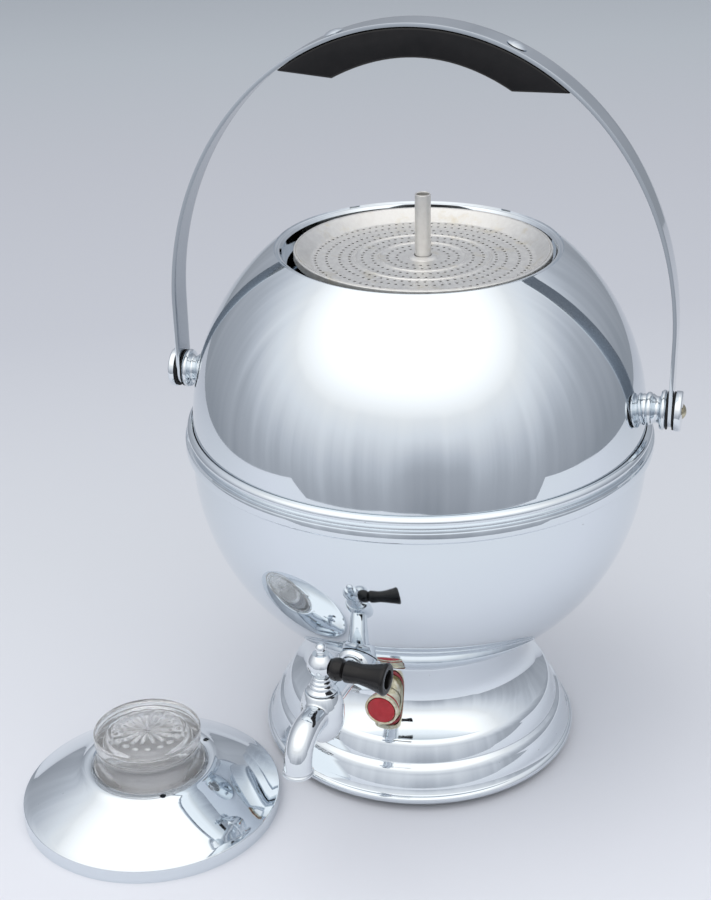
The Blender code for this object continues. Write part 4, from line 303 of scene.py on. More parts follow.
# Lid and its glass knob
LID_PLACE = Vector((-129.0 * MM, -114.0 * MM, -4.3 * MM))
LID_RADIUS = 72.2 * MM
LID_SHEET = 0.7 * MM
LID_SKIRT = 7.8 * MM
LID_SHOULDER = 1.2 * MM
LID_CONE_BULGE = 0.8 * MM
LID_COLLAR = 39.0 * MM
LID_COLLAR_HEIGHT = 28.0 * MM
LID_COLLAR_LINE = (
    (31.6 * MM, 26.5 * MM), (33.0 * MM, 27.5 * MM), (34.2 * MM, 27.9 * MM), (35.5 * MM, 28.0 * MM),
    (36.8 * MM, 27.7 * MM), (38.0 * MM, 27.1 * MM), (39.2 * MM, 26.3 * MM), (40.9 * MM, 25.4 * MM),
)
LID_SHELF_HEIGHT = 26.6 * MM
LID_MOUTH = 29.9 * MM
LID_VENT_RADIUS = 1.7 * MM
LID_VENT_CIRCLE = 35.3 * MM
LID_VENT_AZIMUTHS = (-57.0, 46.0, 170.0)
LID_VENT_SIDES = 20
KNOB_FOOT = 26.9 * MM
KNOB_FLANGE = (31.2 * MM, 28.3 * MM)
KNOB_NECK = 29.4 * MM
KNOB_NECK_FOOT = 20.2 * MM
KNOB_WAIST = (27.8 * MM, 38.7 * MM)
KNOB_BELL_SAG = 1.2 * MM
KNOB_RING = (28.6 * MM, 40.5 * MM)
KNOB_DISC_FOOT = 42.1 * MM
KNOB_DISC_TOP = 49.0 * MM
KNOB_DISC = 29.7 * MM
KNOB_DISC_EDGE = 1.1 * MM
KNOB_CORNER = 0.2 * MM
KNOB_WALL = 3.2 * MM
KNOB_STAR = 20.0 * MM
KNOB_STAR_DEPTH = 1.6 * MM
KNOB_RAYS = 16
KNOB_RAY_DEPTH = 1.1 * MM

# Shares of the star's radius, and of the rays' depth
RAY_END = 0.8
BEAD_CIRCLE = 0.88
BEAD_WIDTH = 0.07
RAY_MIDDLE = 0.6
BEAD_RISE = 0.8

# Grain of the finishes, in millimetres
HAZE = 31.0
SPECK_SPACING = 11.0
WORN_PATCH = 55.0
BRUSH_LINE = 0.6
STAIN = 14.0
MOTTLE = 3.0
TARNISH = 2.5
MOULDING_CLOUD = 6.0
GLASS_RIPPLE = 5.0
LENS_CLOUD = 4.0
CERAMIC_GRAIN = 1.2

# Scratches per millimetre along X, Y and Z; a face of the strap that looks back further than this, in
# millimetres towards the pivots' axis, is its inner face
SCRATCH_STRETCH = (0.08, 2.08, 2.08)
INNER_FACE = -30.0

# Paper on the table, in metres: its corners, the way in which painted shade darkens it into the distance, and
# where that starts and ends
FLOOR_CORNERS = (
    (-0.62, -0.6), (-0.36, -0.475), (-0.25, -0.52), (-0.03, -0.585), (0.13, -0.55), (0.35, -0.42),
    (0.52, -0.24), (0.84, -0.29), (0.87, 0.05), (0.3, 3.0), (-1.8, 3.0), (-0.85, 0.2),
)
FLOOR_SHADE_WAY = (-0.35, 0.94, 0.0)
FLOOR_NEAR = -0.4
FLOOR_FAR = 3.2
# Paper tones from near to far: the paper's own pale colour, darkened by painted shade where the light falls
# off
FLOOR_SHADE_TONES = (
    (0.0, "#dfe2e7"), (0.075, "#dbdde4"), (0.175, "#cbced4"), (0.3, "#babdc5"), (0.45, "#b4b7bf"),
    (0.63, "#abb1b8"), (1.0, "#8c929b"),
)

# Studio: its tones from the floor up, and the way to the stand in front that the chrome shows as a streak
STUDIO_LOW = -0.8
STUDIO_HIGH = 0.45
STUDIO_TONES = (
    (0.04, "#979ca4"), (0.24, "#a7abb3"), (0.4, "#b1b5bd"), (0.47, "#b8bcc4"),
    (0.6, "#cbcfd7"), (0.7, "#dde0e6"), (0.81, "#eef1f6"), (0.96, "#ffffff"),
)
CEILING_STRENGTH = 1.35
STAND = (0.342, -0.94, 0.0)
SOFTBOX_SIZE = (1.2, 0.9)
SOFTBOX_POWER = 5.0
SOFTBOX_PLACE = Vector((-0.35, -0.3, 1.7))
SOFTBOX_AIM = Vector((0.0, 0.0, 0.15))

# Photograph's camera
CAMERA_PLACE = Vector((194.693 * MM, -836.645 * MM, 587.7 * MM))
CAMERA_LOOK = Vector((-0.240801, 0.869480, -0.431299))
CAMERA_ROLL = -1.16
CAMERA_LENS = 67.63
CAMERA_SENSOR = 36.0

FINISHES = {}


# Node trees

def linear(hex_colour):
    """Linear RGBA of an sRGB hex colour."""
    values = []
    for start in (1, 3, 5):
        value = int(hex_colour[start:start + 2], 16) / 255
        values.append(value / 12.92 if value <= 0.04045 else ((value + 0.055) / 1.055) ** 2.4)
    return (*values, 1.0)


def plug(tree, node, inputs):
    """Fill a node's inputs, each with a value, another node's socket, or a node for its first open socket."""
    for name, value in inputs.items():
        if isinstance(value, bpy.types.Node):
            value = next(socket for socket in value.outputs if socket.enabled)
        if isinstance(value, bpy.types.NodeSocket):
            tree.links.new(value, node.inputs[name])
        else:
            node.inputs[name].default_value = value


def add_node(tree, kind, inputs=None, stops=(), **settings):
    """Add a node with its settings, its (position, hex colour) stops if it is a ramp, and its inputs."""
    node = tree.nodes.new("ShaderNode" + kind)
    for name, value in settings.items():
        setattr(node, name, value)
    for number, (position, colour) in enumerate(stops):
        if number > 1:
            node.color_ramp.elements.new(1.0)
        node.color_ramp.elements[number].position = position
        node.color_ramp.elements[number].color = linear(colour)
    plug(tree, node, inputs or {})
    return node


def new_material(name):
    """Start a finish: its node tree, its shader and the piece's own coordinates in millimetres."""
    material = bpy.data.materials.new(name)
    material.use_nodes = True
    FINISHES[name] = material
    tree = material.node_tree
    place = add_node(tree, "TexCoord").outputs["Object"]
    place = add_node(tree, "VectorMath", {0: place, "Scale": 1 / MM}, operation="SCALE")
    return tree, tree.nodes["Principled BSDF"], place


def mottled(name, grain, detail, *stops):
    """Start a finish whose colour is clouded in patches of the grain's size."""
    tree, shader, place = new_material(name)
    cloud = add_node(tree, "TexNoise", {"Vector": place, "Scale": 1 / grain, "Detail": detail})
    plug(tree, shader, {"Base Color": add_node(tree, "ValToRGB", {"Fac": cloud}, stops)})
    return tree, shader, place, cloud


# Finishes

def polished_chrome(name, colour, ripple, pits):
    """Chrome plate on polished metal: mirror gloss, faint waves from the buffing wheel, a few dull specks."""
    tree, shader, place = new_material(name)
    wave = add_node(tree, "TexNoise", {"Vector": place, "Scale": 1 / ripple, "Detail": 1.0})
    cloud = add_node(tree, "TexNoise", {"Vector": place, "Scale": 1 / HAZE, "Detail": 4.0})
    haze = add_node(tree, "MapRange", {
        "Value": cloud, "From Min": 0.42, "From Max": 0.75, "To Min": 0.025, "To Max": 0.07,
    })
    cells = add_node(tree, "TexVoronoi", {"Vector": place, "Scale": 1 / SPECK_SPACING})
    speck = add_node(tree, "MapRange", {
        "Value": cells, "From Min": 0.018, "From Max": 0.03, "To Min": 1.0, "To Max": 0.0,
    })
    patch = add_node(tree, "TexNoise", {"Vector": place, "Scale": 1 / WORN_PATCH, "Detail": 0.0})
    worn = add_node(tree, "MapRange", {"Value": patch, "From Min": 0.5, "From Max": 0.62, "To Max": pits})
    pitted = add_node(tree, "Math", {0: speck, 1: worn}, operation="MULTIPLY")
    tone = add_node(
        tree, "Mix", {"Factor": pitted, "A": linear(colour), "B": linear("#6a6660")}, data_type="RGBA"
    )
    rough = add_node(tree, "Math", {0: pitted, 1: 0.4, 2: haze}, operation="MULTIPLY_ADD")
    bump = add_node(tree, "Bump", {"Height": wave, "Strength": 1.0, "Distance": 0.000012})
    plug(tree, shader, {"Base Color": tone, "Metallic": 1.0, "Roughness": rough, "Normal": bump})


def strap_chrome(name):
    """Chromed strip: polished outside and on its edges, greyer and brushed lengthwise on its inner face."""
    tree, shader, place = new_material(name)
    normal = add_node(tree, "TexCoord").outputs["Normal"]
    outward = add_node(tree, "VectorMath", {0: place, 1: (0, 0, -PIVOT_HEIGHT / MM)}, operation="ADD")
    facing = add_node(tree, "VectorMath", {0: outward, 1: normal}, operation="DOT_PRODUCT")
    inside = add_node(tree, "Math", {0: facing, 1: INNER_FACE}, operation="LESS_THAN")
    across = add_node(tree, "SeparateXYZ", {0: place}).outputs["Y"]
    # The brush leaves finer lines in life; they are drawn this wide so that they show
    brush = add_node(
        tree, "TexNoise", {"W": across, "Scale": 1 / BRUSH_LINE, "Detail": 3.0}, noise_dimensions="1D"
    )
    brushed = add_node(tree, "ValToRGB", {"Fac": brush}, ((0.3, "#a4aab0"), (0.7, "#b6bcc2")))
    tone = add_node(tree, "Mix", {"Factor": inside, "A": linear("#d4dadf"), "B": brushed}, data_type="RGBA")
    rough = add_node(tree, "MapRange", {"Value": inside, "To Min": 0.05, "To Max": 0.17})
    plug(tree, shader, {"Base Color": tone, "Metallic": 1.0, "Roughness": rough})


def satin_aluminium(name, stained):
    """Spun aluminium dulled by years of hot coffee: a soft sheen with yellowish stains."""
    tree, shader, place = new_material(name)
    stain = add_node(tree, "TexNoise", {
        "Vector": place, "Scale": 1 / STAIN, "Detail": 5.0, "Roughness": 0.65,
    })
    mottle = add_node(tree, "TexNoise", {"Vector": place, "Scale": 1 / MOTTLE, "Detail": 3.0})
    grey = add_node(tree, "ValToRGB", {"Fac": mottle}, ((0.3, "#dfddda"), (0.7, "#e9e8e5")))
    spread = add_node(tree, "MapRange", {
        "Value": stain, "From Min": 0.56, "From Max": 0.8, "To Max": stained,
    })
    tone = add_node(tree, "Mix", {"Factor": spread, "A": grey, "B": linear("#c9b98c")}, data_type="RGBA")
    rough = add_node(tree, "MapRange", {
        "Value": mottle, "From Min": 0.3, "From Max": 0.7, "To Min": 0.34, "To Max": 0.46,
    })
    bump = add_node(tree, "Bump", {"Height": mottle, "Strength": 0.2, "Distance": 0.00003})
    plug(tree, shader, {"Base Color": tone, "Metallic": 0.88, "Roughness": rough, "Normal": bump})


def plated_metal(name, light, dark, roughness):
    """Duller plating on screws, nuts and the bezel, with a cloudy tarnish."""
    tree, shader, _, cloud = mottled(name, TARNISH, 4.0, (0.35, dark), (0.65, light))
    rough = add_node(tree, "MapRange", {
        "Value": cloud, "To Min": roughness * 1.3, "To Max": roughness * 0.7,
    })
    plug(tree, shader, {"Metallic": 1.0, "Roughness": rough})


def black_bakelite(name):
    """Moulded phenolic: deep black with a slight brown cast, now faintly dulled and scratched."""
    tree, shader, place, cloud = mottled(name, MOULDING_CLOUD, 5.0, (0.3, "#0a090a"), (0.7, "#131112"))
    rough = add_node(tree, "MapRange", {
        "Value": cloud, "From Min": 0.3, "From Max": 0.7, "To Min": 0.12, "To Max": 0.24,
    })
    # Scratches half a millimetre wide and 12 mm long, which is coarser than in life, so that they show
    stretched = add_node(tree, "Mapping", {"Vector": place, "Scale": SCRATCH_STRETCH})
    scratch = add_node(tree, "TexNoise", {"Vector": stretched, "Scale": 1.0, "Detail": 4.0})
    bump = add_node(tree, "Bump", {"Height": scratch, "Strength": 0.3, "Distance": 0.00004})
    plug(tree, shader, {"Roughness": rough, "Normal": bump, "IOR": 1.42})


def dull_black(name, light, roughness, grain):
    """Vulcanised fibre or rubber: matt black with a fine grain."""
    tree, shader, _, cloud = mottled(name, grain, 3.0, (0.3, "#0b0b0c"), (0.7, light))
    bump = add_node(tree, "Bump", {"Height": cloud, "Strength": 0.5, "Distance": 0.00005})
    plug(tree, shader, {"Roughness": roughness, "Normal": bump})


def clear_glass(name):
    """Pressed soda glass: clear, with the slight ripple that the mould leaves."""
    tree, shader, place = new_material(name)
    ripple = add_node(tree, "TexNoise", {"Vector": place, "Scale": 1 / GLASS_RIPPLE, "Detail": 2.0})
    bump = add_node(tree, "Bump", {"Height": ripple, "Strength": 0.7, "Distance": 0.00025})
    plug(tree, shader, {
        "Base Color": linear("#ffffff"), "Roughness": 0.015, "IOR": 1.52, "Transmission Weight": 0.87,
        "Normal": bump,
    })


def red_lens(name):
    """Red pressed lens with a frosted back, so that it glows evenly and shows no bulb."""
    tree, shader, _, _ = mottled(name, LENS_CLOUD, 2.0, (0.35, "#a81b25"), (0.65, "#b6252f"))
    plug(tree, shader, {"Roughness": 0.22, "IOR": 1.5})


def fired_ceramic(name):
    """Unglazed steatite: chalky off-white."""
    tree, shader, _, _ = mottled(name, CERAMIC_GRAIN, 3.0, (0.3, "#d8d2c4"), (0.7, "#e6e1d6"))
    plug(tree, shader, {"Roughness": 0.6})


polished_chrome("chromed_steel", "#e0e6eb", 13.0, 0.9)
polished_chrome("chromed_brass", "#e2e7eb", 5.0, 0.7)
strap_chrome("chromed_strap")
satin_aluminium("satin_aluminium", 0.55)
plated_metal("tarnished_brass", "#ece6d3", "#c4b998", 0.3)
plated_metal("nickelled_brass", "#cfc8ae", "#a59d84", 0.26)
plated_metal("zinc_plated_steel", "#c2c5c7", "#8d9194", 0.42)
black_bakelite("black_bakelite")
dull_black("black_fibre", "#1a1a1b", 0.7, 0.4)
dull_black("black_rubber", "#222223", 0.8, 0.8)
red_lens("red_glass")
clear_glass("clear_glass")
fired_ceramic("white_ceramic")


# Outlines

def arc(centre_r, centre_z, radius, start, end, steps):
    """Points of a circular arc in an outline; degrees, 0 is outwards and 90 is up."""
    points = []
    for step in range(steps + 1):
        angle = math.radians(start + (end - start) * step / steps)
        points.append((centre_r + radius * math.cos(angle), centre_z + radius * math.sin(angle)))
    return points


def bow(start, end, rise, steps=SOFT_STEPS):
    """Points between start and end that swell to the left of the way by rise."""
    r, z = start
    along_r = end[0] - r
    along_z = end[1] - z
    length = math.hypot(along_r, along_z)
    points = []
    for step in range(1, steps):
        share = step / steps
        lift = 4.0 * rise * share * (1.0 - share) / length
        points.append((r + along_r * share - along_z * lift, z + along_z * share + along_r * lift))
    return points


def smoothed(line, rounds=2):
    """Line of points with its corners cut, so that it turns softly; its ends stay."""
    for _ in range(rounds):
        softer = [line[0]]
        for (r0, z0), (r1, z1) in zip(line, line[1:]):
            softer.append((r0 * 0.75 + r1 * 0.25, z0 * 0.75 + z1 * 0.25))
            softer.append((r0 * 0.25 + r1 * 0.75, z0 * 0.25 + z1 * 0.75))
        line = softer + [line[-1]]
    return line


def tier(knee, start, end):
    """A step of the pedestal: a soft knee at its top edge, then a steep and nearly straight wall."""
    wall = tuple(a + (b - a) * KNEE_SHARE for a, b in zip(knee, end))
    points = []
    for step in range(1, SOFT_STEPS):
        share = step / SOFT_STEPS
        weights = ((1 - share) ** 2, 2 * share * (1 - share), share ** 2)
        points.append(tuple(
            sum(weight * value for weight, value in zip(weights, values)) for values in zip(start, knee, wall)
        ))
    return points + [wall] + bow(wall, end, TIER_BULGE)


def domed_head(radius, height):
    """Upper side of a domed head whose flat underside is at zero."""
    sphere = (radius * radius + height * height) / (2 * height)
    half = math.degrees(math.asin(radius / sphere))
    return arc(0, height - sphere, sphere, 90, 90 - half, SOFT_STEPS)


def polar_angle(radius, sphere):
    """Angle above the equator, in degrees, where a sphere is this far from its axis."""
    return math.degrees(math.acos(radius / sphere))


# Modelling

WELD = (bpy.ops.mesh.remove_doubles, {"threshold": 0.002 * MM})
FACE_OUTWARDS = (bpy.ops.mesh.normals_make_consistent, {"inside": False})


def deselect():
    """Leave nothing selected."""
    bpy.ops.object.select_all(action="DESELECT")


def pick(piece):
    """Select this piece alone."""
    deselect()
    piece.select_set(True)
    bpy.context.view_layer.objects.active = piece


def edit(piece, *steps):
    """Run mesh operators, each with its settings, one by one on the whole piece."""
    pick(piece)
    bpy.ops.object.mode_set(mode="EDIT")
    for operator, settings in steps:
        bpy.ops.mesh.select_all(action="SELECT")
        operator(**settings)
    bpy.ops.object.mode_set(mode="OBJECT")


def apply_modifier(piece, kind, **settings):
    """Add one modifier with its settings and apply it."""
    pick(piece)
    modifier = piece.modifiers.new(kind.title(), kind)
    for name, value in settings.items():
        setattr(modifier, name, value)
    bpy.ops.object.modifier_apply(modifier=modifier.name)


def round_corners(piece, width, segments=2, angle=32.0):
    """Soften every corner sharper than the angle."""
    apply_modifier(
        piece, "BEVEL", width=width, segments=segments, limit_method="ANGLE",
        angle_limit=math.radians(angle), use_clamp_overlap=True,
    )


def carve(piece, cutter, operation="DIFFERENCE"):
    """Cut or join a closed shape, then remove it."""
    apply_modifier(piece, "BOOLEAN", operation=operation, object=cutter, solver="MANIFOLD")
    bpy.data.objects.remove(cutter, do_unlink=True)


def outlined(name, points, fill="NOTHING"):
    """A closed line, or one flat face, through the points: a circle whose corners are moved to them."""
    deselect()
    bpy.ops.mesh.primitive_circle_add(vertices=len(points), radius=1.0, fill_type=fill)
    piece = bpy.context.object
    piece.name = name
    for vertex, point in zip(piece.data.vertices, points):
        vertex.co = point
    return piece


def turned(name, outline, steps=RING_STEPS, place=None, corner=0.0):
    """Spin an outline about its Z axis, round its corners, and put it in its place."""
    piece = outlined(name, [(radius, 0.0, height) for radius, height in outline])
    edit(
        piece,
        (bpy.ops.mesh.spin, {"steps": steps, "angle": math.tau, "center": (0, 0, 0), "axis": (0, 0, 1)}),
        WELD,
        (bpy.ops.mesh.delete_loose, {"use_verts": True, "use_edges": True, "use_faces": False}),
        FACE_OUTWARDS,
    )
    if corner:
        round_corners(piece, corner)
    if place is not None:
        piece.data.transform(place)
    return piece


def rod(name, radius, start, end, place, corner=0.0):
    """A plain round rod along its own Z axis, for drilling and joining."""
    return turned(name, [(0, end), (radius, end), (radius, start), (0, start)], SMALL_STEPS, place, corner)


def ring_places(rings):
    """Centres of holes on rings of (count, radius), each ring half a step on from the last."""
    places = []
    for number, (count, radius) in enumerate(rings):
        for index in range(count):
            angle = math.tau * (index + number / 2) / count
            places.append((radius * math.cos(angle), radius * math.sin(angle)))
    return places


def drill(piece, places, radius, low, high, sides=10):
    """Drill upright round holes from low to high: one pin is modelled, copied to every place and cut out."""
    deselect()
    depth = high - low + 2 * DRILL_PAST
    bpy.ops.mesh.primitive_cylinder_add(vertices=sides, radius=radius, depth=depth)
    pins = bpy.context.object
    shape = bmesh.new()
    for x, y in places:
        shape.from_mesh(pins.data)
        shape.verts.ensure_lookup_table()
        fresh = shape.verts[len(shape.verts) - len(pins.data.vertices):]
        bmesh.ops.translate(shape, verts=fresh, vec=(x, y, (low + high) / 2))
    shape.to_mesh(pins.data)
    shape.free()
    carve(piece, pins)


def mapped_grid(name, columns, rows, place_of):
    """A grid whose points are set by their column and row."""
    deselect()
    bpy.ops.mesh.primitive_grid_add(x_subdivisions=columns, y_subdivisions=rows, size=2.0)
    piece = bpy.context.object
    piece.name = name
    for vertex in piece.data.vertices:
        column = round((vertex.co.x + 1) / 2 * columns)
        row = round((vertex.co.y + 1) / 2 * rows)
        vertex.co = place_of(column, row)
    return piece


def mend_seams(piece):
    """Weld doubles, close the open ends and turn the faces outwards."""
    edit(piece, WELD, (bpy.ops.mesh.fill_holes, {"sides": 0}), FACE_OUTWARDS)


def done(piece, body, slot, *nodes, smooth=34.0, finish=None):
    """Shade the piece, give it its finish, and let it ride and stand for its CAD nodes."""
    pick(piece)
    bpy.ops.object.shade_smooth_by_angle(angle=math.radians(smooth))
    piece.data.materials.clear()
    piece.data.materials.append(FINISHES[finish or slot])
    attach(piece, body)
    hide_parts(*nodes)


def dress_nodes():
    """Give every CAD node that stays in view the finish of its slot."""
    for part in frame["record"]["subparts"]:
        node = frame["nodes"][part["node"]]
        node.data.materials.clear()
        node.data.materials.append(FINISHES[part["material_slot"]])


FORWARD = Matrix.Rotation(math.radians(90), 4, "X")
SIDEWAYS = Matrix.Rotation(math.radians(90), 4, "Y")
SPIGOT = Matrix.Rotation(math.radians(SPIGOT_TURN), 4, "Z")
SHANK = SPIGOT @ Matrix.Translation((0, 0, SHANK_HEIGHT)) @ FORWARD
TAP = SPIGOT @ Matrix.Translation((0, -SPIGOT_REACH, 0))
LEVER = TAP @ Matrix.Translation((0, 0, LEVER_HEIGHT)) @ SIDEWAYS
PILOT = Matrix.Rotation(math.radians(PILOT_TURN), 4, "Z")
PILOT = PILOT @ Matrix.Translation((0, 0, PILOT_HEIGHT)) @ FORWARD
PUMP = Matrix.Translation(PUMP_SHIFT)
LID = Matrix.Translation(LID_PLACE)
BAIL = Matrix.Translation((0, 0, PIVOT_HEIGHT))


# Body

def make_ball():
    """Both pressed halves of the ball and the beaded band over their seam."""
    well = -polar_angle(WELL_MOUTH, BOWL_RADIUS)
    inside = BOWL_RADIUS - SHEET
    outline = [(BOWL_RADIUS, SEAM)] + arc(0, BOWL_CENTRE, BOWL_RADIUS, 0, well, ARC_STEPS)
    outline += arc(0, BOWL_CENTRE, inside, well, 0, ARC_STEPS) + [(inside, SEAM)]
    bowl = turned("bowl_shell", outline, BALL_STEPS)
    carve(bowl, rod("shank_hole", SHANK_RADIUS + SLIT, SHANK_ROOT, COLLAR_FRONT, SHANK))
    done(bowl, "urn", "chromed_steel", "lower_bowl")

    shoulder = polar_angle(NECK_RADIUS + SHEET, DOME_RADIUS)
    inside = DOME_RADIUS - SHEET
    sleeve = NECK_BORE + SHEET
    stop = NECK_BORE - LID_SEAT_WIDTH
    seat = NECK_LIP - LID_SEAT_DEPTH
    roll = (NECK_RADIUS - NECK_BORE) / 2
    outline = arc(NECK_BORE + roll, NECK_LIP - roll / 2, roll / 2, 150, 30, EDGE_STEPS)
    outline += [(NECK_RADIUS, NECK_LIP - roll)]
    outline += arc(0, DOME_CENTRE, DOME_RADIUS, shoulder, 0, ARC_STEPS)
    outline += [(DOME_RADIUS, SEAM + SLIT), (inside, SEAM + SLIT)]
    outline += arc(0, DOME_CENTRE, inside, 0, shoulder, ARC_STEPS)
    outline += [(sleeve, NECK_LIP - SHEET * 2), (sleeve, seat - SHEET), (stop, seat - SHEET)]
    outline += [(stop, seat), (NECK_BORE, seat), (NECK_BORE, NECK_LIP - roll)]
    done(turned("dome_shell", outline, BALL_STEPS), "urn", "chromed_steel", "upper_dome")

    bore = BOWL_RADIUS + SLIT
    upper_bore = DOME_RADIUS + SLIT
    bead_top = (upper_bore, BEAD_TOP)
    bead_foot = (BAND_GROOVE, BAND_GROOVE_TOP)
    swell = BEAD - (upper_bore + BAND_GROOVE) / 2
    outline = [bead_top] + bow(bead_top, bead_foot, swell) + [bead_foot]
    outline += [(BAND_GROOVE, BAND_LEDGE_TOP), (BAND_LEDGE, BAND_LEDGE_TOP), (BAND_LEDGE, BAND_FACE_TOP)]
    outline += [(BAND_FACE, BAND_FACE_TOP), (BAND_FACE, BAND_FOOT + BAND_CHAMFER)]
    outline += [(BAND_FACE - BAND_CHAMFER, BAND_FOOT), (bore, BAND_FOOT)]
    outline += [(bore, SEAM + SLIT), (upper_bore, SEAM + SLIT)]
    band = turned("band_shell", outline, BALL_STEPS, corner=BAND_EDGE)
    done(band, "urn", "chromed_steel", "belt_band")


def inlet_block(name, end):
    """A box of the inlet's width and height, from its root to this far behind the ball's axis."""
    deselect()
    bpy.ops.mesh.primitive_cube_add(size=1.0, location=(0, (INLET_ROOT + end) / 2, INLET_HEIGHT))
    block = bpy.context.object
    block.name = name
    block.scale = (INLET_SIZE[0], end - INLET_ROOT, INLET_SIZE[1])
    bpy.ops.object.transform_apply()
    return block


def make_pedestal():
    """Stepped pedestal: cove, two tiers and a rolled foot, open for the inlet and the pilot light."""
    mouth = (WAIST_MOUTH, BOWL_CENTRE - math.sqrt((BOWL_RADIUS + SLIT) ** 2 - WAIST_MOUTH ** 2))
    waist = (WAIST_RADIUS, WAIST_HEIGHT)
    roll = FOOT_BEAD_HEIGHT / 2
    wall = SHEET + SLIT
    outline = [mouth] + bow(mouth, waist, -WAIST_SAG) + [waist]
    outline += bow(waist, COVE_FOOT, -COVE_SAG) + [COVE_FOOT, LEDGE]
    outline += tier(UPPER_KNEE, LEDGE, GROOVE) + [GROOVE, LOWER_TIER]
    outline += tier(LOWER_KNEE, LOWER_TIER, LOWER_FLARE) + [LOWER_FLARE, LOWER_FOOT]
    outline += arc(FOOT_BEAD_RADIUS - roll, roll, roll, 80, -88, SOFT_STEPS)
    outline += [(LOWER_FOOT[0] - wall, 0), (LOWER_FOOT[0] - wall, LOWER_FOOT[1])]
    for radius, height in (LOWER_TIER, GROOVE, LEDGE, COVE_FOOT):
        outline.append((radius - wall * 2, height - SHEET))
    inner_waist = (WAIST_RADIUS - wall, WAIST_HEIGHT)
    outline += bow(outline[-1], inner_waist, COVE_SAG, 4) + [inner_waist, (WAIST_MOUTH - wall, mouth[1])]
    pedestal = turned("pedestal_shell", outline, BALL_STEPS, corner=PEDESTAL_EDGE)
    carve(pedestal, inlet_block("inlet_slot", 2 * INLET_REACH - INLET_ROOT))
    carve(pedestal, rod("pilot_hole", PILOT_TUBE + SLIT, PILOT_ROOT, PILOT_REACH, PILOT))
    done(pedestal, "urn", "chromed_steel", "pedestal_base")


def make_feet():
    """Rubber feet with a soft tread edge."""
    for name in ("foot_front", "foot_left", "foot_right"):
        low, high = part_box(name)
        centre = (low + high) / 2
        top = high.z - low.z
        radius = (high.y - low.y) / 2
        outline = [(FOOT_HOLE, top), (radius, top), (radius - FOOT_TAPER, 0), (FOOT_HOLE, 0)]
        place = Matrix.Translation((centre.x, centre.y, low.z))
        done(turned(name + "_pad", outline, SMALL_STEPS, place, FOOT_EDGE), "urn", "black_rubber", name)


def make_pilot():
    """Brass bezel with a rounded ring; the red lens stands a little proud of it and shows behind the ring."""
    rim_back = PILOT_REACH - PILOT_RIM_LENGTH
    ring_back = PILOT_REACH - PILOT_RING
    lip_back = PILOT_REACH - PILOT_TUBE_WALL
    pocket = PILOT_RIM - 2 * PILOT_TUBE_WALL
    pocket_back = rim_back + PILOT_TUBE_WALL
    bore = PILOT_TUBE - PILOT_TUBE_WALL
    window = PILOT_WINDOW + SLIT
    edge = PILOT_RIM_EDGE
    outline = [(window, lip_back), (window, PILOT_REACH - edge / 2), (window + SLIT, PILOT_REACH)]
    outline += arc(PILOT_RIM - edge, PILOT_REACH - edge, edge, 90, 0, SOFT_STEPS)
    outline += [(PILOT_RIM, ring_back), (PILOT_COLLAR, ring_back), (PILOT_COLLAR, rim_back)]
    outline += [(PILOT_TUBE, rim_back), (PILOT_TUBE, PILOT_ROOT), (bore, PILOT_ROOT)]
    outline += [(bore, pocket_back), (pocket, pocket_back), (pocket, lip_back)]
    done(turned("bezel_ring", outline, RING_STEPS, PILOT), "urn", "tarnished_brass", "pilot_bezel")

    crest = (0, PILOT_REACH + LENS_CROWN)
    rim = (PILOT_WINDOW, PILOT_REACH)
    back = PILOT_REACH - LENS_DEPTH
    outline = [crest] + bow(crest, rim, LENS_CROWN / 3)
    outline += [rim, (PILOT_WINDOW, lip_back - SLIT), (bore - SLIT, back), (0, back)]
    lens = turned("lens_disc", outline, RING_STEPS, PILOT)
    inner = PILOT_COLLAR + SLIT / 2
    low = rim_back + SLIT
    high = ring_back - SLIT
    outline = [(inner, high), (PILOT_SLEEVE, high), (PILOT_SLEEVE, low), (inner, low)]
    sleeve = turned("lens_sleeve", outline, RING_STEPS, PILOT)
    pick(lens)
    sleeve.select_set(True)
    bpy.ops.object.join()
    done(lens, "urn", "red_glass", "pilot_lens")


def make_inlet():
    """Pressed shroud and the two contact pins of the appliance inlet."""
    shroud = inlet_block("shroud_shell", INLET_REACH)
    bpy.ops.object.mode_set(mode="EDIT")
    bpy.ops.mesh.select_mode(type="EDGE")
    bpy.ops.mesh.select_all(action="DESELECT")
    shape = bmesh.from_edit_mesh(shroud.data)
    for edge in shape.edges:
        edge.select_set(abs(edge.verts[0].co.y - edge.verts[1].co.y) > INLET_SIZE[1] / 2)
    bmesh.update_edit_mesh(shroud.data)
    bpy.ops.mesh.bevel(offset=INLET_CORNER, segments=EDGE_STEPS, affect="EDGES")
    bpy.ops.mesh.select_mode(type="FACE")
    bpy.ops.mesh.select_all(action="DESELECT")
    shape = bmesh.from_edit_mesh(shroud.data)
    for face in shape.faces:
        face.select_set(abs(face.normal.y) > 0.9)
    bmesh.update_edit_mesh(shroud.data)
    bpy.ops.mesh.delete(type="FACE")
    bpy.ops.object.mode_set(mode="OBJECT")
    apply_modifier(shroud, "SOLIDIFY", thickness=INLET_WALL, offset=-1.0)
    round_corners(shroud, INLET_EDGE)
    done(shroud, "urn", "chromed_steel", "inlet_shroud")
    for side, sign in (("left", 1), ("right", -1)):
        place = Matrix.Translation((sign * INLET_PIN_SPACING / 2, 0, INLET_HEIGHT)) @ FORWARD.inverted()
        pin = rod("inlet_contact_" + side, INLET_PIN_RADIUS, INLET_ROOT, INLET_PIN_TIP, place, INLET_PIN_EDGE)
        done(pin, "urn", "nickelled_brass", "inlet_pin_" + side)


# Spigot

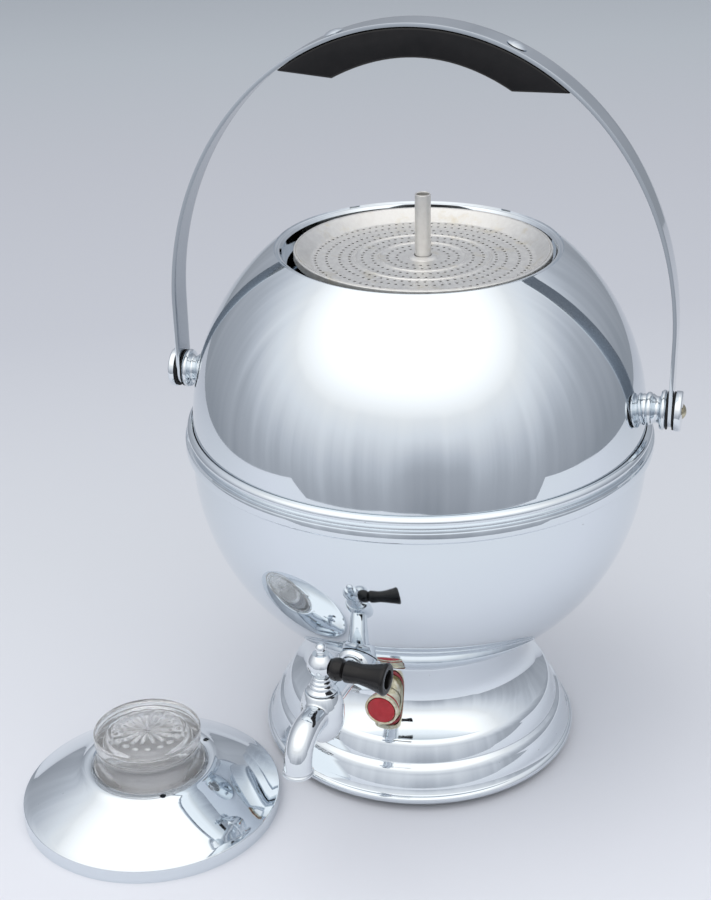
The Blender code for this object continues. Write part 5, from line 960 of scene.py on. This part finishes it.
def pipe(name, radius, line):
    """A closed round pipe along a line of (reach, height) points in front of the ball."""
    def place_of(column, row):
        reach, height = line[row]
        before = line[max(row - 1, 0)]
        after = line[min(row + 1, len(line) - 1)]
        lean = math.atan2(before[1] - after[1], after[0] - before[0])
        turn = math.tau * column / SMALL_STEPS
        out = radius * math.cos(turn)
        return (radius * math.sin(turn), -(reach + out * math.sin(lean)), height + out * math.cos(lean))

    made = mapped_grid(name, SMALL_STEPS, len(line) - 1, place_of)
    mend_seams(made)
    return made


def make_casting():
    """Spigot casting: bored shank, barrel with the plug's taper and curved spout, run together by fillets."""
    top = (BARREL_SHOULDER, BARREL_TOP)
    belly = (BARREL_RADIUS, BARREL_FLOOR + (BARREL_TOP - BARREL_FLOOR) * BARREL_BELLY_SHARE)
    tail = (BARREL_TAIL, BARREL_FLOOR)
    outline = [(0, BARREL_TOP), top] + bow(top, belly, (BARREL_RADIUS - BARREL_SHOULDER) / 3)
    outline += [belly] + bow(belly, tail, (BARREL_RADIUS - BARREL_TAIL) / 3) + [tail, (0, BARREL_FLOOR)]
    barrel = Matrix.Translation((0, -SPIGOT_REACH, 0))
    shank = Matrix.Translation((0, 0, SHANK_HEIGHT)) @ FORWARD
    casting = turned("tap_casting", outline, SMALL_STEPS, barrel)
    carve(casting, rod("shank", SHANK_RADIUS, SHANK_ROOT, SPIGOT_REACH, shank), "UNION")

    bend = (SPOUT_REACH - SPOUT_BEND, SHANK_HEIGHT - SPOUT_BEND)
    path = [(SPIGOT_REACH, SHANK_HEIGHT)] + arc(*bend, SPOUT_BEND, 90, 0, SPOUT_STEPS)
    carve(casting, pipe("spout", SPOUT_RADIUS, path + [(SPOUT_REACH, SPOUT_TIP)]), "UNION")
    lip = SPOUT_RADIUS + SPOUT_LIP
    lip_top = SPOUT_TIP + SPOUT_LIP_HEIGHT
    outline = [(0, lip_top), (SPOUT_RADIUS, lip_top), (lip, lip_top - SPOUT_LIP)]
    outline += [(lip, SPOUT_TIP), (0, SPOUT_TIP)]
    mouth_ring = turned("lip", outline, SMALL_STEPS, Matrix.Translation((0, -SPOUT_REACH, 0)))
    carve(casting, mouth_ring, "UNION")

    mouth = PLUG_TOP + SLIT
    floor = BARREL_FLOOR + PLUG_FLOOR_RISE
    over = BARREL_TOP + SPOUT_LIP
    taper = [(0, over), (mouth, over), (mouth, BARREL_TOP), (PLUG_TAIL + SLIT, floor), (0, floor)]
    carve(casting, turned("plug_hole", taper, SMALL_STEPS, barrel))
    carve(casting, rod("shank_bore", SHANK_BORE, SHANK_ROOT - SPOUT_LIP, SPIGOT_REACH, shank))
    carve(casting, pipe("spout_bore", SPOUT_BORE, path + [(SPOUT_REACH, SPOUT_TIP - SPOUT_LIP)]))
    apply_modifier(casting, "REMESH", mode="VOXEL", voxel_size=CASTING_VOXEL)
    apply_modifier(casting, "SMOOTH", factor=0.5, iterations=10)
    casting.data.transform(SPIGOT)
    done(casting, "urn", "chromed_brass", "spigot_body", smooth=180.0)

    bore = SHANK_RADIUS + SLIT
    outline = [(bore, COLLAR_FRONT), (COLLAR_RADIUS - COLLAR_CHAMFER, COLLAR_FRONT)]
    outline += [(COLLAR_RADIUS, COLLAR_FRONT - COLLAR_CHAMFER), (COLLAR_RADIUS, SHANK_ROOT)]
    collar = turned("tap_collar", outline + [(bore, SHANK_ROOT)], RING_STEPS, SHANK)
    ball = arc(0, BOWL_CENTRE, BOWL_RADIUS + SLIT, 90, -90, 2 * ARC_STEPS)
    carve(collar, turned("bowl_form", ball, BALL_STEPS))
    round_corners(collar, COLLAR_EDGE)
    done(collar, "urn", "chromed_brass", "spigot_collar")


def make_tap_top():
    """Ringed bonnet, onion knob with its finial, and the lever on its stud."""
    bore = PLUG_STEM + SLIT
    rim_top = BONNET_FOOT + BONNET_RIM_HEIGHT
    pitch = (BONNET_TOP - rim_top) / BONNET_RINGS
    outline = [(bore, BONNET_TOP)]
    for number in range(BONNET_RINGS):
        groove = BONNET_RING + number * BONNET_RING_SPREAD - BONNET_RING_PROUD
        top = (groove, BONNET_TOP - number * pitch)
        foot = (groove + BONNET_RING_SPREAD / 2, top[1] - pitch)
        outline += [top] + bow(top, foot, BONNET_RING_PROUD)
    outline += [foot, (BONNET_RIM, rim_top - BONNET_RIM_HEIGHT / 2)]
    outline += [(BONNET_RIM, BONNET_FOOT), (bore, BONNET_FOOT)]
    bonnet = turned("ringed_bonnet", outline, RING_STEPS, TAP, BONNET_EDGE)
    done(bonnet, "urn", "chromed_brass", "spigot_bonnet")

    outline = arc(0, ONION_TOP + FINIAL_RADIUS, FINIAL_RADIUS, 90, -FINIAL_UNDERCUT, 2 * SOFT_STEPS)
    outline.append((ONION_NECK, ONION_TOP))
    middle = (ONION_FOOT + ONION_TOP) / 2
    half = (ONION_TOP - ONION_FOOT) / 2
    for step in range(2 * SOFT_STEPS + 1):
        share = 1 - step / SOFT_STEPS
        radius = ONION_RADIUS * math.cos(share * math.pi / 2 * ONION_END_SHARE)
        outline.append((radius, middle + half * share))
    socket = BARREL_TOP + PLUG_STEM_HEIGHT + SLIT
    outline += [(bore, ONION_FOOT), (bore, socket), (0, socket)]
    knob = turned("onion_knob", outline, RING_STEPS, TAP)
    carve(knob, rod("lever_seat", LEVER_SEAT, LEVER_SEAT_REACH, STUD_DRILL_TIP, LEVER))
    carve(knob, rod("stud_hole", STUD_DRILL, STUD_DRILL, LEVER_BULB_END, LEVER))
    done(knob, "tap", "chromed_brass", "spigot_knob")

    edge = LEVER_END / 6
    flare = (LEVER_END, LEVER_TIP - edge)
    waist = (LEVER_WAIST, LEVER_BULB_END + (LEVER_TIP - LEVER_BULB_END) * LEVER_WAIST_SHARE)
    shoulder = (LEVER_SHOULDER, LEVER_BULB_END + edge)
    half = LEVER_BULB_HALF_ANGLE
    recess = LEVER_TIP - LEVER_RECESS_DEPTH
    outline = [(LEVER_RECESS, LEVER_TIP), (LEVER_END - edge, LEVER_TIP)]
    outline += arc(LEVER_END - edge, LEVER_TIP - edge, edge, 80, 10, SOFT_STEPS) + [flare]
    outline += bow(flare, waist, -LEVER_FLARE_SAG) + [waist]
    outline += bow(waist, shoulder, LEVER_FLARE_SAG / 2) + [shoulder, (LEVER_GROOVE, LEVER_BULB_END)]
    outline += arc(0, (LEVER_BACK + LEVER_BULB_END) / 2, LEVER_BULB, half, -half, SOFT_STEPS)
    outline += [(LEVER_GROOVE, LEVER_BACK), (STUD_DRILL, LEVER_BACK), (STUD_DRILL, STUD_DRILL_TIP)]
    outline += [(0, STUD_DRILL_TIP), (0, recess), (LEVER_RECESS, recess)]
    lever = turned("lever_handle", outline, RING_STEPS, LEVER, LEVER_EDGE)
    done(lever, "tap", "black_bakelite", "spigot_lever")


# Bail

def arch_point(angle, inset):
    """Point of the strap's middle line moved inwards by inset; radians, from the right leg up."""
    x = BAIL_HALF_SPAN * math.cos(angle)
    z = BAIL_LEG + BAIL_RISE * math.sin(angle)
    normal = Vector((math.cos(angle) / BAIL_HALF_SPAN, math.sin(angle) / BAIL_RISE)).normalized()
    return x - normal.x * inset, z - normal.y * inset


def arch_angle(x, inset):
    """Angle at which the arch, moved inwards by inset, stands at this x."""
    low, high = 0.0, math.pi / 2
    for _ in range(40):
        middle = (low + high) / 2
        if arch_point(middle, inset)[0] > x:
            low = middle
        else:
            high = middle
    return low


def arch_middle(x, drop):
    """Point at this x, the drop below the strap's middle line."""
    return x, BAIL_LEG + BAIL_RISE * math.sqrt(1 - (x / BAIL_HALF_SPAN) ** 2) - drop


def make_strap():
    """Chromed strap: round ends on the pivots, straight legs and an elliptical arch."""
    half = STRAP_WIDTH / 2
    leg = []
    for wide, height in arc(0, 0, half, -90, 0, SOFT_STEPS)[1:]:
        leg.append((BAIL_HALF_SPAN, height, wide))
    leg.append((BAIL_HALF_SPAN, BAIL_LEG / 2, half))
    stations = list(leg)
    for step in range(2 * RING_STEPS + 1):
        stations.append((*arch_point(math.pi * step / (2 * RING_STEPS), 0), half))
    stations += [(-x, z, wide) for x, z, wide in leg[::-1]]

    def place_of(column, row):
        x, z, wide = stations[column]
        return (x, wide * (2 * row / STRAP_ROWS - 1), z)

    strap = mapped_grid("strap_band", len(stations) - 1, STRAP_ROWS, place_of)
    apply_modifier(strap, "SOLIDIFY", thickness=STRAP_THICKNESS, offset=0.0)
    mend_seams(strap)
    round_corners(strap, STRAP_EDGE, segments=3, angle=50.0)
    strap.data.transform(BAIL)
    done(strap, "bail", "chromed_steel", "bail_strap", finish="chromed_strap")


def make_grip():
    """Moulded grip under the crown, a little right of its middle: flat cheeks, arched hold, pointed ends."""
    inset = STRAP_THICKNESS / 2 + SLIT
    start = arch_angle(GRIP_OFFSET + GRIP_HALF, inset)
    end = math.pi - arch_angle(GRIP_HALF - GRIP_OFFSET, inset)
    outline = []
    for step in range(ARC_STEPS + 1):
        outline.append(arch_point(start + (end - start) * step / ARC_STEPS, inset))
    left = arch_middle(GRIP_OFFSET - GRIP_HOLD_HALF, GRIP_CORNER_DROP)
    right = arch_middle(GRIP_OFFSET + GRIP_HOLD_HALF, GRIP_CORNER_DROP)
    sag = arch_middle(GRIP_OFFSET, GRIP_HOLD_DROP)[1] - (left[1] + right[1]) / 2
    outline += [left] + bow(left, right, sag, ARC_STEPS) + [right]
    grip = outlined("grip_moulding", [(x, -STRAP_WIDTH / 2, z) for x, z in outline], "NGON")
    across = {"TRANSFORM_OT_translate": {"value": (0, STRAP_WIDTH, 0)}}
    edit(grip, (bpy.ops.mesh.extrude_region_move, across), FACE_OUTWARDS)
    round_corners(grip, GRIP_EDGE, segments=4, angle=50.0)
    grip.data.transform(BAIL)
    done(grip, "bail", "black_bakelite", "bail_grip", smooth=40.0)

    seat = -STRAP_THICKNESS / 2 - SLIT
    shank, depth = GRIP_SCREW_SHANK
    outline = domed_head(*GRIP_SCREW_HEAD) + [(shank, 0), (shank, -depth), (0, -depth)]
    for side, sign in (("left", -1), ("right", 1)):
        angle = arch_angle(GRIP_SCREW_PLACE + sign * GRIP_OFFSET, seat)
        x, z = arch_point(angle, seat)
        inner_x, inner_z = arch_point(angle, 0)
        lean = math.atan2(x - inner_x, z - inner_z)
        place = BAIL @ Matrix.Translation((sign * x, 0, z)) @ Matrix.Rotation(sign * lean, 4, "Y")
        rivet = turned("grip_rivet_" + side, outline, SMALL_STEPS, place)
        done(rivet, "bail", "chromed_steel", "grip_screw_" + side)


def make_pivots():
    """Turned boss, washers, cap and domed nut of each pivot."""
    bore = PIVOT_SCREW
    bead = (BOSS_BEAD - CAP_EDGE / 2, BOSS_BEAD_FRONT)
    cup = (BOSS_CUP - CAP_EDGE / 2, BOSS_CUP_BACK)
    cup_middle = (BOSS_FACE + BOSS_CUP_BACK) / 2
    bead_middle = (BOSS_BEAD_FRONT + BOSS_SEAT) / 2
    spigot = BOSS_BEAD - CAP_EDGE
    boss = [(bore, BOSS_FACE), (cup[0], BOSS_FACE)]
    boss += arc(BOSS_CUP - BOSS_CUP_ROUND, cup_middle, BOSS_CUP_ROUND, 70, -70, SOFT_STEPS) + [cup]
    boss += bow(cup, bead, BOSS_WAIST - (cup[0] + bead[0]) / 2) + [bead]
    boss += arc(BOSS_BEAD - BOSS_BEAD_ROUND, bead_middle, BOSS_BEAD_ROUND, 70, -70, SOFT_STEPS)
    boss += [(spigot, BOSS_SEAT), (spigot, BOSS_ROOT), (bore, BOSS_ROOT)]
    washers = []
    for back in (INNER_WASHER, OUTER_WASHER):
        front = back + WASHER_THICKNESS
        washers.append([(WASHER_RADIUS, front), (WASHER_RADIUS, back), (bore, back), (bore, front)])
    cap = [(bore, CAP_FRONT), (CAP_RADIUS - CAP_EDGE, CAP_FRONT)]
    cap += arc(CAP_RADIUS - CAP_EDGE, CAP_FRONT - CAP_EDGE, CAP_EDGE, 80, 0, EDGE_STEPS)
    cap += [(CAP_RADIUS, CAP_BACK), (bore, CAP_BACK)]
    seat = CAP_FRONT + SLIT
    nut = [(radius, height + seat) for radius, height in domed_head(*PIVOT_SCREW_HEAD)]
    nut += [(bore - SLIT, seat), (bore - SLIT, BOSS_FACE), (0, BOSS_FACE)]
    stack = (
        ("turned_boss_", "pivot_boss_", "chromed_brass", boss, RING_STEPS, 0.0),
        ("fibre_disc_inner_", "fibre_washer_inner_", "black_fibre", washers[0], RING_STEPS, WASHER_EDGE),
        ("fibre_disc_outer_", "fibre_washer_outer_", "black_fibre", washers[1], RING_STEPS, WASHER_EDGE),
        ("end_cap_", "pivot_cap_", "chromed_brass", cap, RING_STEPS, CAP_CORNER),
        ("domed_nut_", "pivot_screw_", "nickelled_brass", nut, SMALL_STEPS, 0.0),
    )
    for side, sign in (("left", -1), ("right", 1)):
        place = BAIL @ Matrix.Rotation(sign * math.pi / 2, 4, "Y")
        for name, node, slot, outline, steps, corner in stack:
            done(turned(name + side, outline, steps, place, corner), "urn", slot, node + side)


# Pump and dish

def make_pump():
    """Stem with a rolled tip and the drawn basket with its rolled edge."""
    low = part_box("pump_stem")[0].z
    seat = BASKET_FLOOR - SLIT
    flange, drop = STEM_FLANGE
    outline = [(STEM_BORE, STEM_TOP - STEM_EDGE), (STEM_BORE + STEM_EDGE, STEM_TOP)]
    outline += [(STEM_RADIUS - STEM_EDGE, STEM_TOP), (STEM_RADIUS, STEM_TOP - STEM_EDGE)]
    outline += [(STEM_RADIUS, seat), (flange, seat), (flange, BASKET_FLOOR - drop)]
    outline += [(STEM_RADIUS, BASKET_FLOOR - drop), (STEM_RADIUS, low), (STEM_BORE, low)]
    done(turned("stem_tube", outline, RING_STEPS, PUMP), "pump", "satin_aluminium", "pump_stem")

    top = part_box("coffee_basket")[1].z
    wall = BASKET_RADIUS - ALUMINIUM_SHEET
    floor = BASKET_FLOOR + ALUMINIUM_SHEET
    bend = BASKET_FLOOR + BASKET_BEND
    sleeve = BASKET_SLEEVE + ALUMINIUM_SHEET
    sleeve_top = DISH_FLOOR - BASKET_SLEEVE_DROP
    outline = arc(BASKET_RADIUS, top - BASKET_ROLL, BASKET_ROLL, 90, -90, SOFT_STEPS)
    outline += [(BASKET_RADIUS, bend), (BASKET_RADIUS - BASKET_BEND, BASKET_FLOOR)]
    outline += [(BASKET_SLEEVE, BASKET_FLOOR), (BASKET_SLEEVE, sleeve_top), (sleeve, sleeve_top)]
    outline += [(sleeve, floor), (wall - BASKET_BEND, floor), (wall, bend), (wall, top)]
    basket = turned("drawn_basket", outline, RING_STEPS, corner=BASKET_EDGE)
    drill(basket, ring_places(BASKET_HOLE_RINGS), BASKET_HOLE, BASKET_FLOOR, floor)
    basket.data.transform(PUMP)
    done(basket, "basket", "satin_aluminium", "coffee_basket")


def make_dish():
    """Spreader dish: rolled rim, sloping wall, two embossed ridges, a boss and eight rings of drip holes."""
    under = DISH_FLOOR - ALUMINIUM_SHEET
    upper = []
    lower = []
    for ridge in DISH_RIDGES:
        for line, level in ((upper, DISH_FLOOR), (lower, under)):
            for step in range(SOFT_STEPS + 1):
                share = step / SOFT_STEPS
                rise = DISH_RIDGE_HEIGHT * math.sin(math.pi * share) ** 2
                line.append((ridge + DISH_RIDGE_WIDTH * (0.5 - share), level + rise))
    rim = DISH_RADIUS - DISH_RIM_WIDTH
    skirt = DISH_RADIUS - ALUMINIUM_SHEET
    rim_under = DISH_TOP - ALUMINIUM_SHEET
    bend = DISH_BEND
    boss_top = (DISH_BORE, DISH_FLOOR + DISH_BOSS[1])
    boss_foot = (DISH_BOSS[0] + DISH_BOSS[1], DISH_FLOOR)
    wall_start = (DISH_FLOOR_RADIUS - bend, DISH_FLOOR)
    wall_rise = (DISH_FLOOR_RADIUS + bend * 0.8, DISH_FLOOR + bend * 0.7)
    groove, depth = DISH_RIM_GROOVE
    outline = arc(DISH_RADIUS - bend / 2, DISH_TOP - bend / 2, bend / 2, 90, 0, EDGE_STEPS)
    outline += [(DISH_RADIUS, DISH_TOP - DISH_SKIRT), (skirt, DISH_TOP - DISH_SKIRT)]
    outline += [(skirt, rim_under), (rim, rim_under), (DISH_FLOOR_RADIUS, under)] + lower
    outline += [(DISH_BOSS[0], under), (DISH_BORE, under), boss_top]
    outline += bow(boss_top, boss_foot, DISH_BOSS[1] / 4, EDGE_STEPS) + [boss_foot] + upper[::-1]
    outline += [wall_start] + bow(wall_start, wall_rise, -DISH_BEND_SAG, EDGE_STEPS) + [wall_rise]
    outline += [(rim - bend / 2, DISH_TOP - bend / 2), (rim + bend / 8, DISH_TOP)]
    outline += [(groove - depth / 2, DISH_TOP), (groove, DISH_TOP - depth), (groove + depth / 2, DISH_TOP)]
    dish = turned("perforated_dish", outline, BALL_STEPS)
    drill(dish, ring_places(DISH_HOLE_RINGS), DISH_HOLE, under, DISH_FLOOR)
    dish.data.transform(PUMP)
    done(dish, "spreader", "satin_aluminium", "spreader_dish")


# Lid

def make_lid():
    """Spun lid: straight skirt, nearly straight cone and a rounded collar, with three steam vents."""
    inner = LID_RADIUS - LID_SHEET
    low = LID_SHELF_HEIGHT - 2 * LID_SHEET
    under = (LID_COLLAR - LID_SHEET, low)
    rim = LID_RADIUS - LID_SHOULDER
    outline = [(LID_MOUTH, LID_SHELF_HEIGHT - LID_SHEET / 2)] + smoothed(LID_COLLAR_LINE)
    outline += bow(outline[-1], (rim, LID_SKIRT + LID_SHOULDER / 2), LID_CONE_BULGE)
    outline += arc(rim, LID_SKIRT - LID_SHOULDER / 2, LID_SHOULDER, 75, 0, RIM_STEPS)
    outline += [(LID_RADIUS, 0), (inner, 0), (inner, LID_SKIRT)]
    outline += bow((inner, LID_SKIRT), under, -LID_CONE_BULGE) + [under, (LID_MOUTH, low)]
    lid = turned("lid_spinning", outline, BALL_STEPS)
    vents = []
    for azimuth in LID_VENT_AZIMUTHS:
        angle = math.radians(azimuth)
        vents.append((LID_VENT_CIRCLE * math.cos(angle), LID_VENT_CIRCLE * math.sin(angle)))
    drill(lid, vents, LID_VENT_RADIUS, low, LID_COLLAR_HEIGHT, LID_VENT_SIDES)
    lid.data.transform(LID)
    done(lid, "lid", "chromed_steel", "lid_shell")


def press_star(knob, floor):
    """Press the star into the top of the glass: rays from the middle and a bead between their tips."""
    for vertex in knob.data.vertices:
        radius = math.hypot(vertex.co.x, vertex.co.y)
        if vertex.co.z < floor - KNOB_STAR_DEPTH / 8 or radius > KNOB_STAR:
            continue
        turn = math.atan2(vertex.co.y, vertex.co.x)
        share = radius / KNOB_STAR
        envelope = math.sin(math.pi * share / RAY_END) ** 0.7 if share < RAY_END else 0.0
        ray = envelope * (abs(math.cos(turn * KNOB_RAYS / 2)) - RAY_MIDDLE)
        scallop = 0.5 + 0.5 * math.cos(turn * KNOB_RAYS)
        bead = math.exp(-((share - BEAD_CIRCLE) / BEAD_WIDTH) ** 2) * scallop
        vertex.co.z += KNOB_RAY_DEPTH * (ray + BEAD_RISE * bead)


def make_knob():
    """Pressed-glass knob: bell, ring and disc, with a rayed star sunk in its top."""
    floor = KNOB_DISC_TOP - KNOB_STAR_DEPTH
    ceiling = floor - KNOB_WALL
    edge = KNOB_DISC_EDGE
    neck_bore = KNOB_NECK - KNOB_WALL
    waist, waist_height = KNOB_WAIST
    ring, ring_top = KNOB_RING
    ring_half = (ring_top - waist_height) / 2
    outline = [(KNOB_STAR * step / SMALL_STEPS, floor) for step in range(SMALL_STEPS + 1)]
    outline += [(KNOB_STAR + KNOB_STAR_DEPTH, KNOB_DISC_TOP)]
    outline += arc(KNOB_DISC - edge, KNOB_DISC_TOP - edge, edge, 90, 0, RIM_STEPS)
    outline += arc(KNOB_DISC - edge, KNOB_DISC_FOOT + edge, edge, 0, -80, RIM_STEPS)
    outline += [(waist, KNOB_DISC_FOOT), (waist, ring_top)]
    outline += arc(ring - ring_half, waist_height + ring_half, ring_half, 70, -70, RIM_STEPS)
    outline += [KNOB_WAIST] + bow(KNOB_WAIST, KNOB_FLANGE, -KNOB_BELL_SAG) + [KNOB_FLANGE]
    outline += [(KNOB_FLANGE[0], KNOB_FOOT), (KNOB_NECK, KNOB_FOOT), (KNOB_NECK, KNOB_NECK_FOOT)]
    outline += [(neck_bore, KNOB_NECK_FOOT), (neck_bore, KNOB_FOOT), (waist - KNOB_WALL, waist_height)]
    outline += [(waist - KNOB_WALL - KNOB_STAR_DEPTH, ceiling), (0, ceiling)]
    knob = turned("pressed_glass_knob", outline, 2 * BALL_STEPS, corner=KNOB_CORNER)
    press_star(knob, floor)
    knob.data.transform(LID)
    done(knob, "lid", "clear_glass", "glass_knob", smooth=30.0)


# Studio and camera

def make_floor():
    """Pale paper on the table; the chrome shows its edges, and painted shade darkens its colour into the
    distance, where the light falls off.
    """
    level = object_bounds()[0].z
    floor = outlined("paper_floor", [(*corner, level) for corner in FLOOR_CORNERS], "NGON")
    edit(floor, FACE_OUTWARDS)
    tree, shader, place = new_material("matt_paper_painted_shade")
    # Painted shade: the paper's colour darkens with distance, in place of light falling off
    far = add_node(tree, "VectorMath", {0: place, 1: FLOOR_SHADE_WAY}, operation="DOT_PRODUCT")
    share = add_node(tree, "MapRange", {
        "Value": far, "From Min": FLOOR_NEAR / MM, "From Max": FLOOR_FAR / MM,
    })
    tone = add_node(tree, "ValToRGB", {"Fac": share}, FLOOR_SHADE_TONES)
    plug(tree, shader, {"Base Color": tone, "Roughness": 0.85})
    floor.data.materials.append(FINISHES["matt_paper_painted_shade"])


def make_world():
    """Soft studio: white overhead and in front, grey to the sides and behind, with the folds of a curtain."""
    world = bpy.data.worlds.new("studio")
    bpy.context.scene.world = world
    world.use_nodes = True
    tree = world.node_tree
    tree.nodes.clear()
    way = add_node(tree, "TexCoord").outputs["Generated"]
    up = add_node(tree, "SeparateXYZ", {0: way}).outputs["Z"]

    # Height above the horizon, lowered behind so that the front is the lighter side
    ahead = add_node(tree, "VectorMath", {0: way, 1: (0.0, -1.0, 0.0)}, operation="DOT_PRODUCT")
    front = add_node(
        tree, "MapRange",
        {"Value": ahead, "From Min": -0.9, "From Max": 0.9, "To Min": -0.65, "To Max": 0.0},
        interpolation_type="SMOOTHSTEP",
    )
    height = add_node(tree, "Math", {0: up, 1: front}, operation="ADD")

    # Upright folds that fade out overhead
    flat = add_node(tree, "VectorMath", {0: way, 1: (1.0, 1.0, 0.03)}, operation="MULTIPLY")
    level = add_node(tree, "VectorMath", {0: flat}, operation="NORMALIZE")
    folds = add_node(tree, "TexNoise", {"Vector": level, "Scale": 8.0, "Detail": 4.0})
    weight = add_node(tree, "MapRange", {
        "Value": height, "From Min": -0.3, "From Max": 0.3, "To Min": 0.6, "To Max": 0.15,
    })
    centred = add_node(tree, "Math", {0: folds, 1: 0.5}, operation="SUBTRACT")
    shade = add_node(tree, "Math", {0: centred, 1: weight, 2: height}, operation="MULTIPLY_ADD")

    # Dark stand in front, low down
    beside = add_node(tree, "VectorMath", {0: level, 1: STAND}, operation="DOT_PRODUCT")
    stand = add_node(
        tree, "MapRange", {"Value": beside, "From Min": 0.93, "From Max": 0.995},
        interpolation_type="SMOOTHSTEP",
    )
    low = add_node(tree, "MapRange", {
        "Value": up, "From Min": -0.1, "From Max": 0.2, "To Min": -0.22, "To Max": 0.0,
    })
    darkened = add_node(tree, "Math", {0: stand, 1: low, 2: shade}, operation="MULTIPLY_ADD")

    scaled = add_node(tree, "MapRange", {
        "Value": darkened, "From Min": STUDIO_LOW, "From Max": STUDIO_HIGH,
    })
    tone = add_node(tree, "ValToRGB", {"Fac": scaled}, STUDIO_TONES)
    power = add_node(tree, "MapRange", {
        "Value": height, "From Min": 0.36, "From Max": 0.56, "To Min": 1.0, "To Max": CEILING_STRENGTH,
    })
    light = add_node(tree, "Background", {"Color": tone, "Strength": power})
    add_node(tree, "OutputWorld", {"Surface": light})


def make_lamp():
    """One broad lamp overhead gives the soft shadows under the rim and the lid."""
    lamp = bpy.data.lights.new("overhead_softbox", "AREA")
    lamp.shape = "RECTANGLE"
    lamp.size, lamp.size_y = SOFTBOX_SIZE
    lamp.energy = SOFTBOX_POWER
    holder = bpy.data.objects.new("overhead_softbox", lamp)
    holder.location = SOFTBOX_PLACE
    holder.rotation_euler = (SOFTBOX_AIM - SOFTBOX_PLACE).to_track_quat("-Z", "Y").to_euler()
    holder.visible_glossy = False
    bpy.context.scene.collection.objects.link(holder)


def make_camera():
    """Camera at the photograph's place, fitted to the object's round edges."""
    data = bpy.data.cameras.new("camera")
    data.lens = CAMERA_LENS
    data.sensor_width = CAMERA_SENSOR
    camera = bpy.data.objects.new("camera", data)
    bpy.context.scene.collection.objects.link(camera)
    look = CAMERA_LOOK.normalized()
    right = look.cross(Vector((0, 0, 1))).normalized()
    up = right.cross(look)
    roll = math.radians(CAMERA_ROLL)
    across = right * math.cos(roll) + up * math.sin(roll)
    upright = up * math.cos(roll) - right * math.sin(roll)
    turn = Matrix((across, upright, -look)).transposed()
    camera.matrix_world = Matrix.Translation(CAMERA_PLACE) @ turn.to_4x4()
    bpy.context.scene.camera = camera


make_camera()
dress_nodes()
make_ball()
make_pedestal()
make_feet()
make_pilot()
make_inlet()
make_casting()
make_tap_top()
make_strap()
make_grip()
make_pivots()
make_pump()
make_dish()
make_lid()
make_knob()
make_floor()
make_world()
make_lamp()
bpy.context.scene.view_settings.view_transform = "Standard"
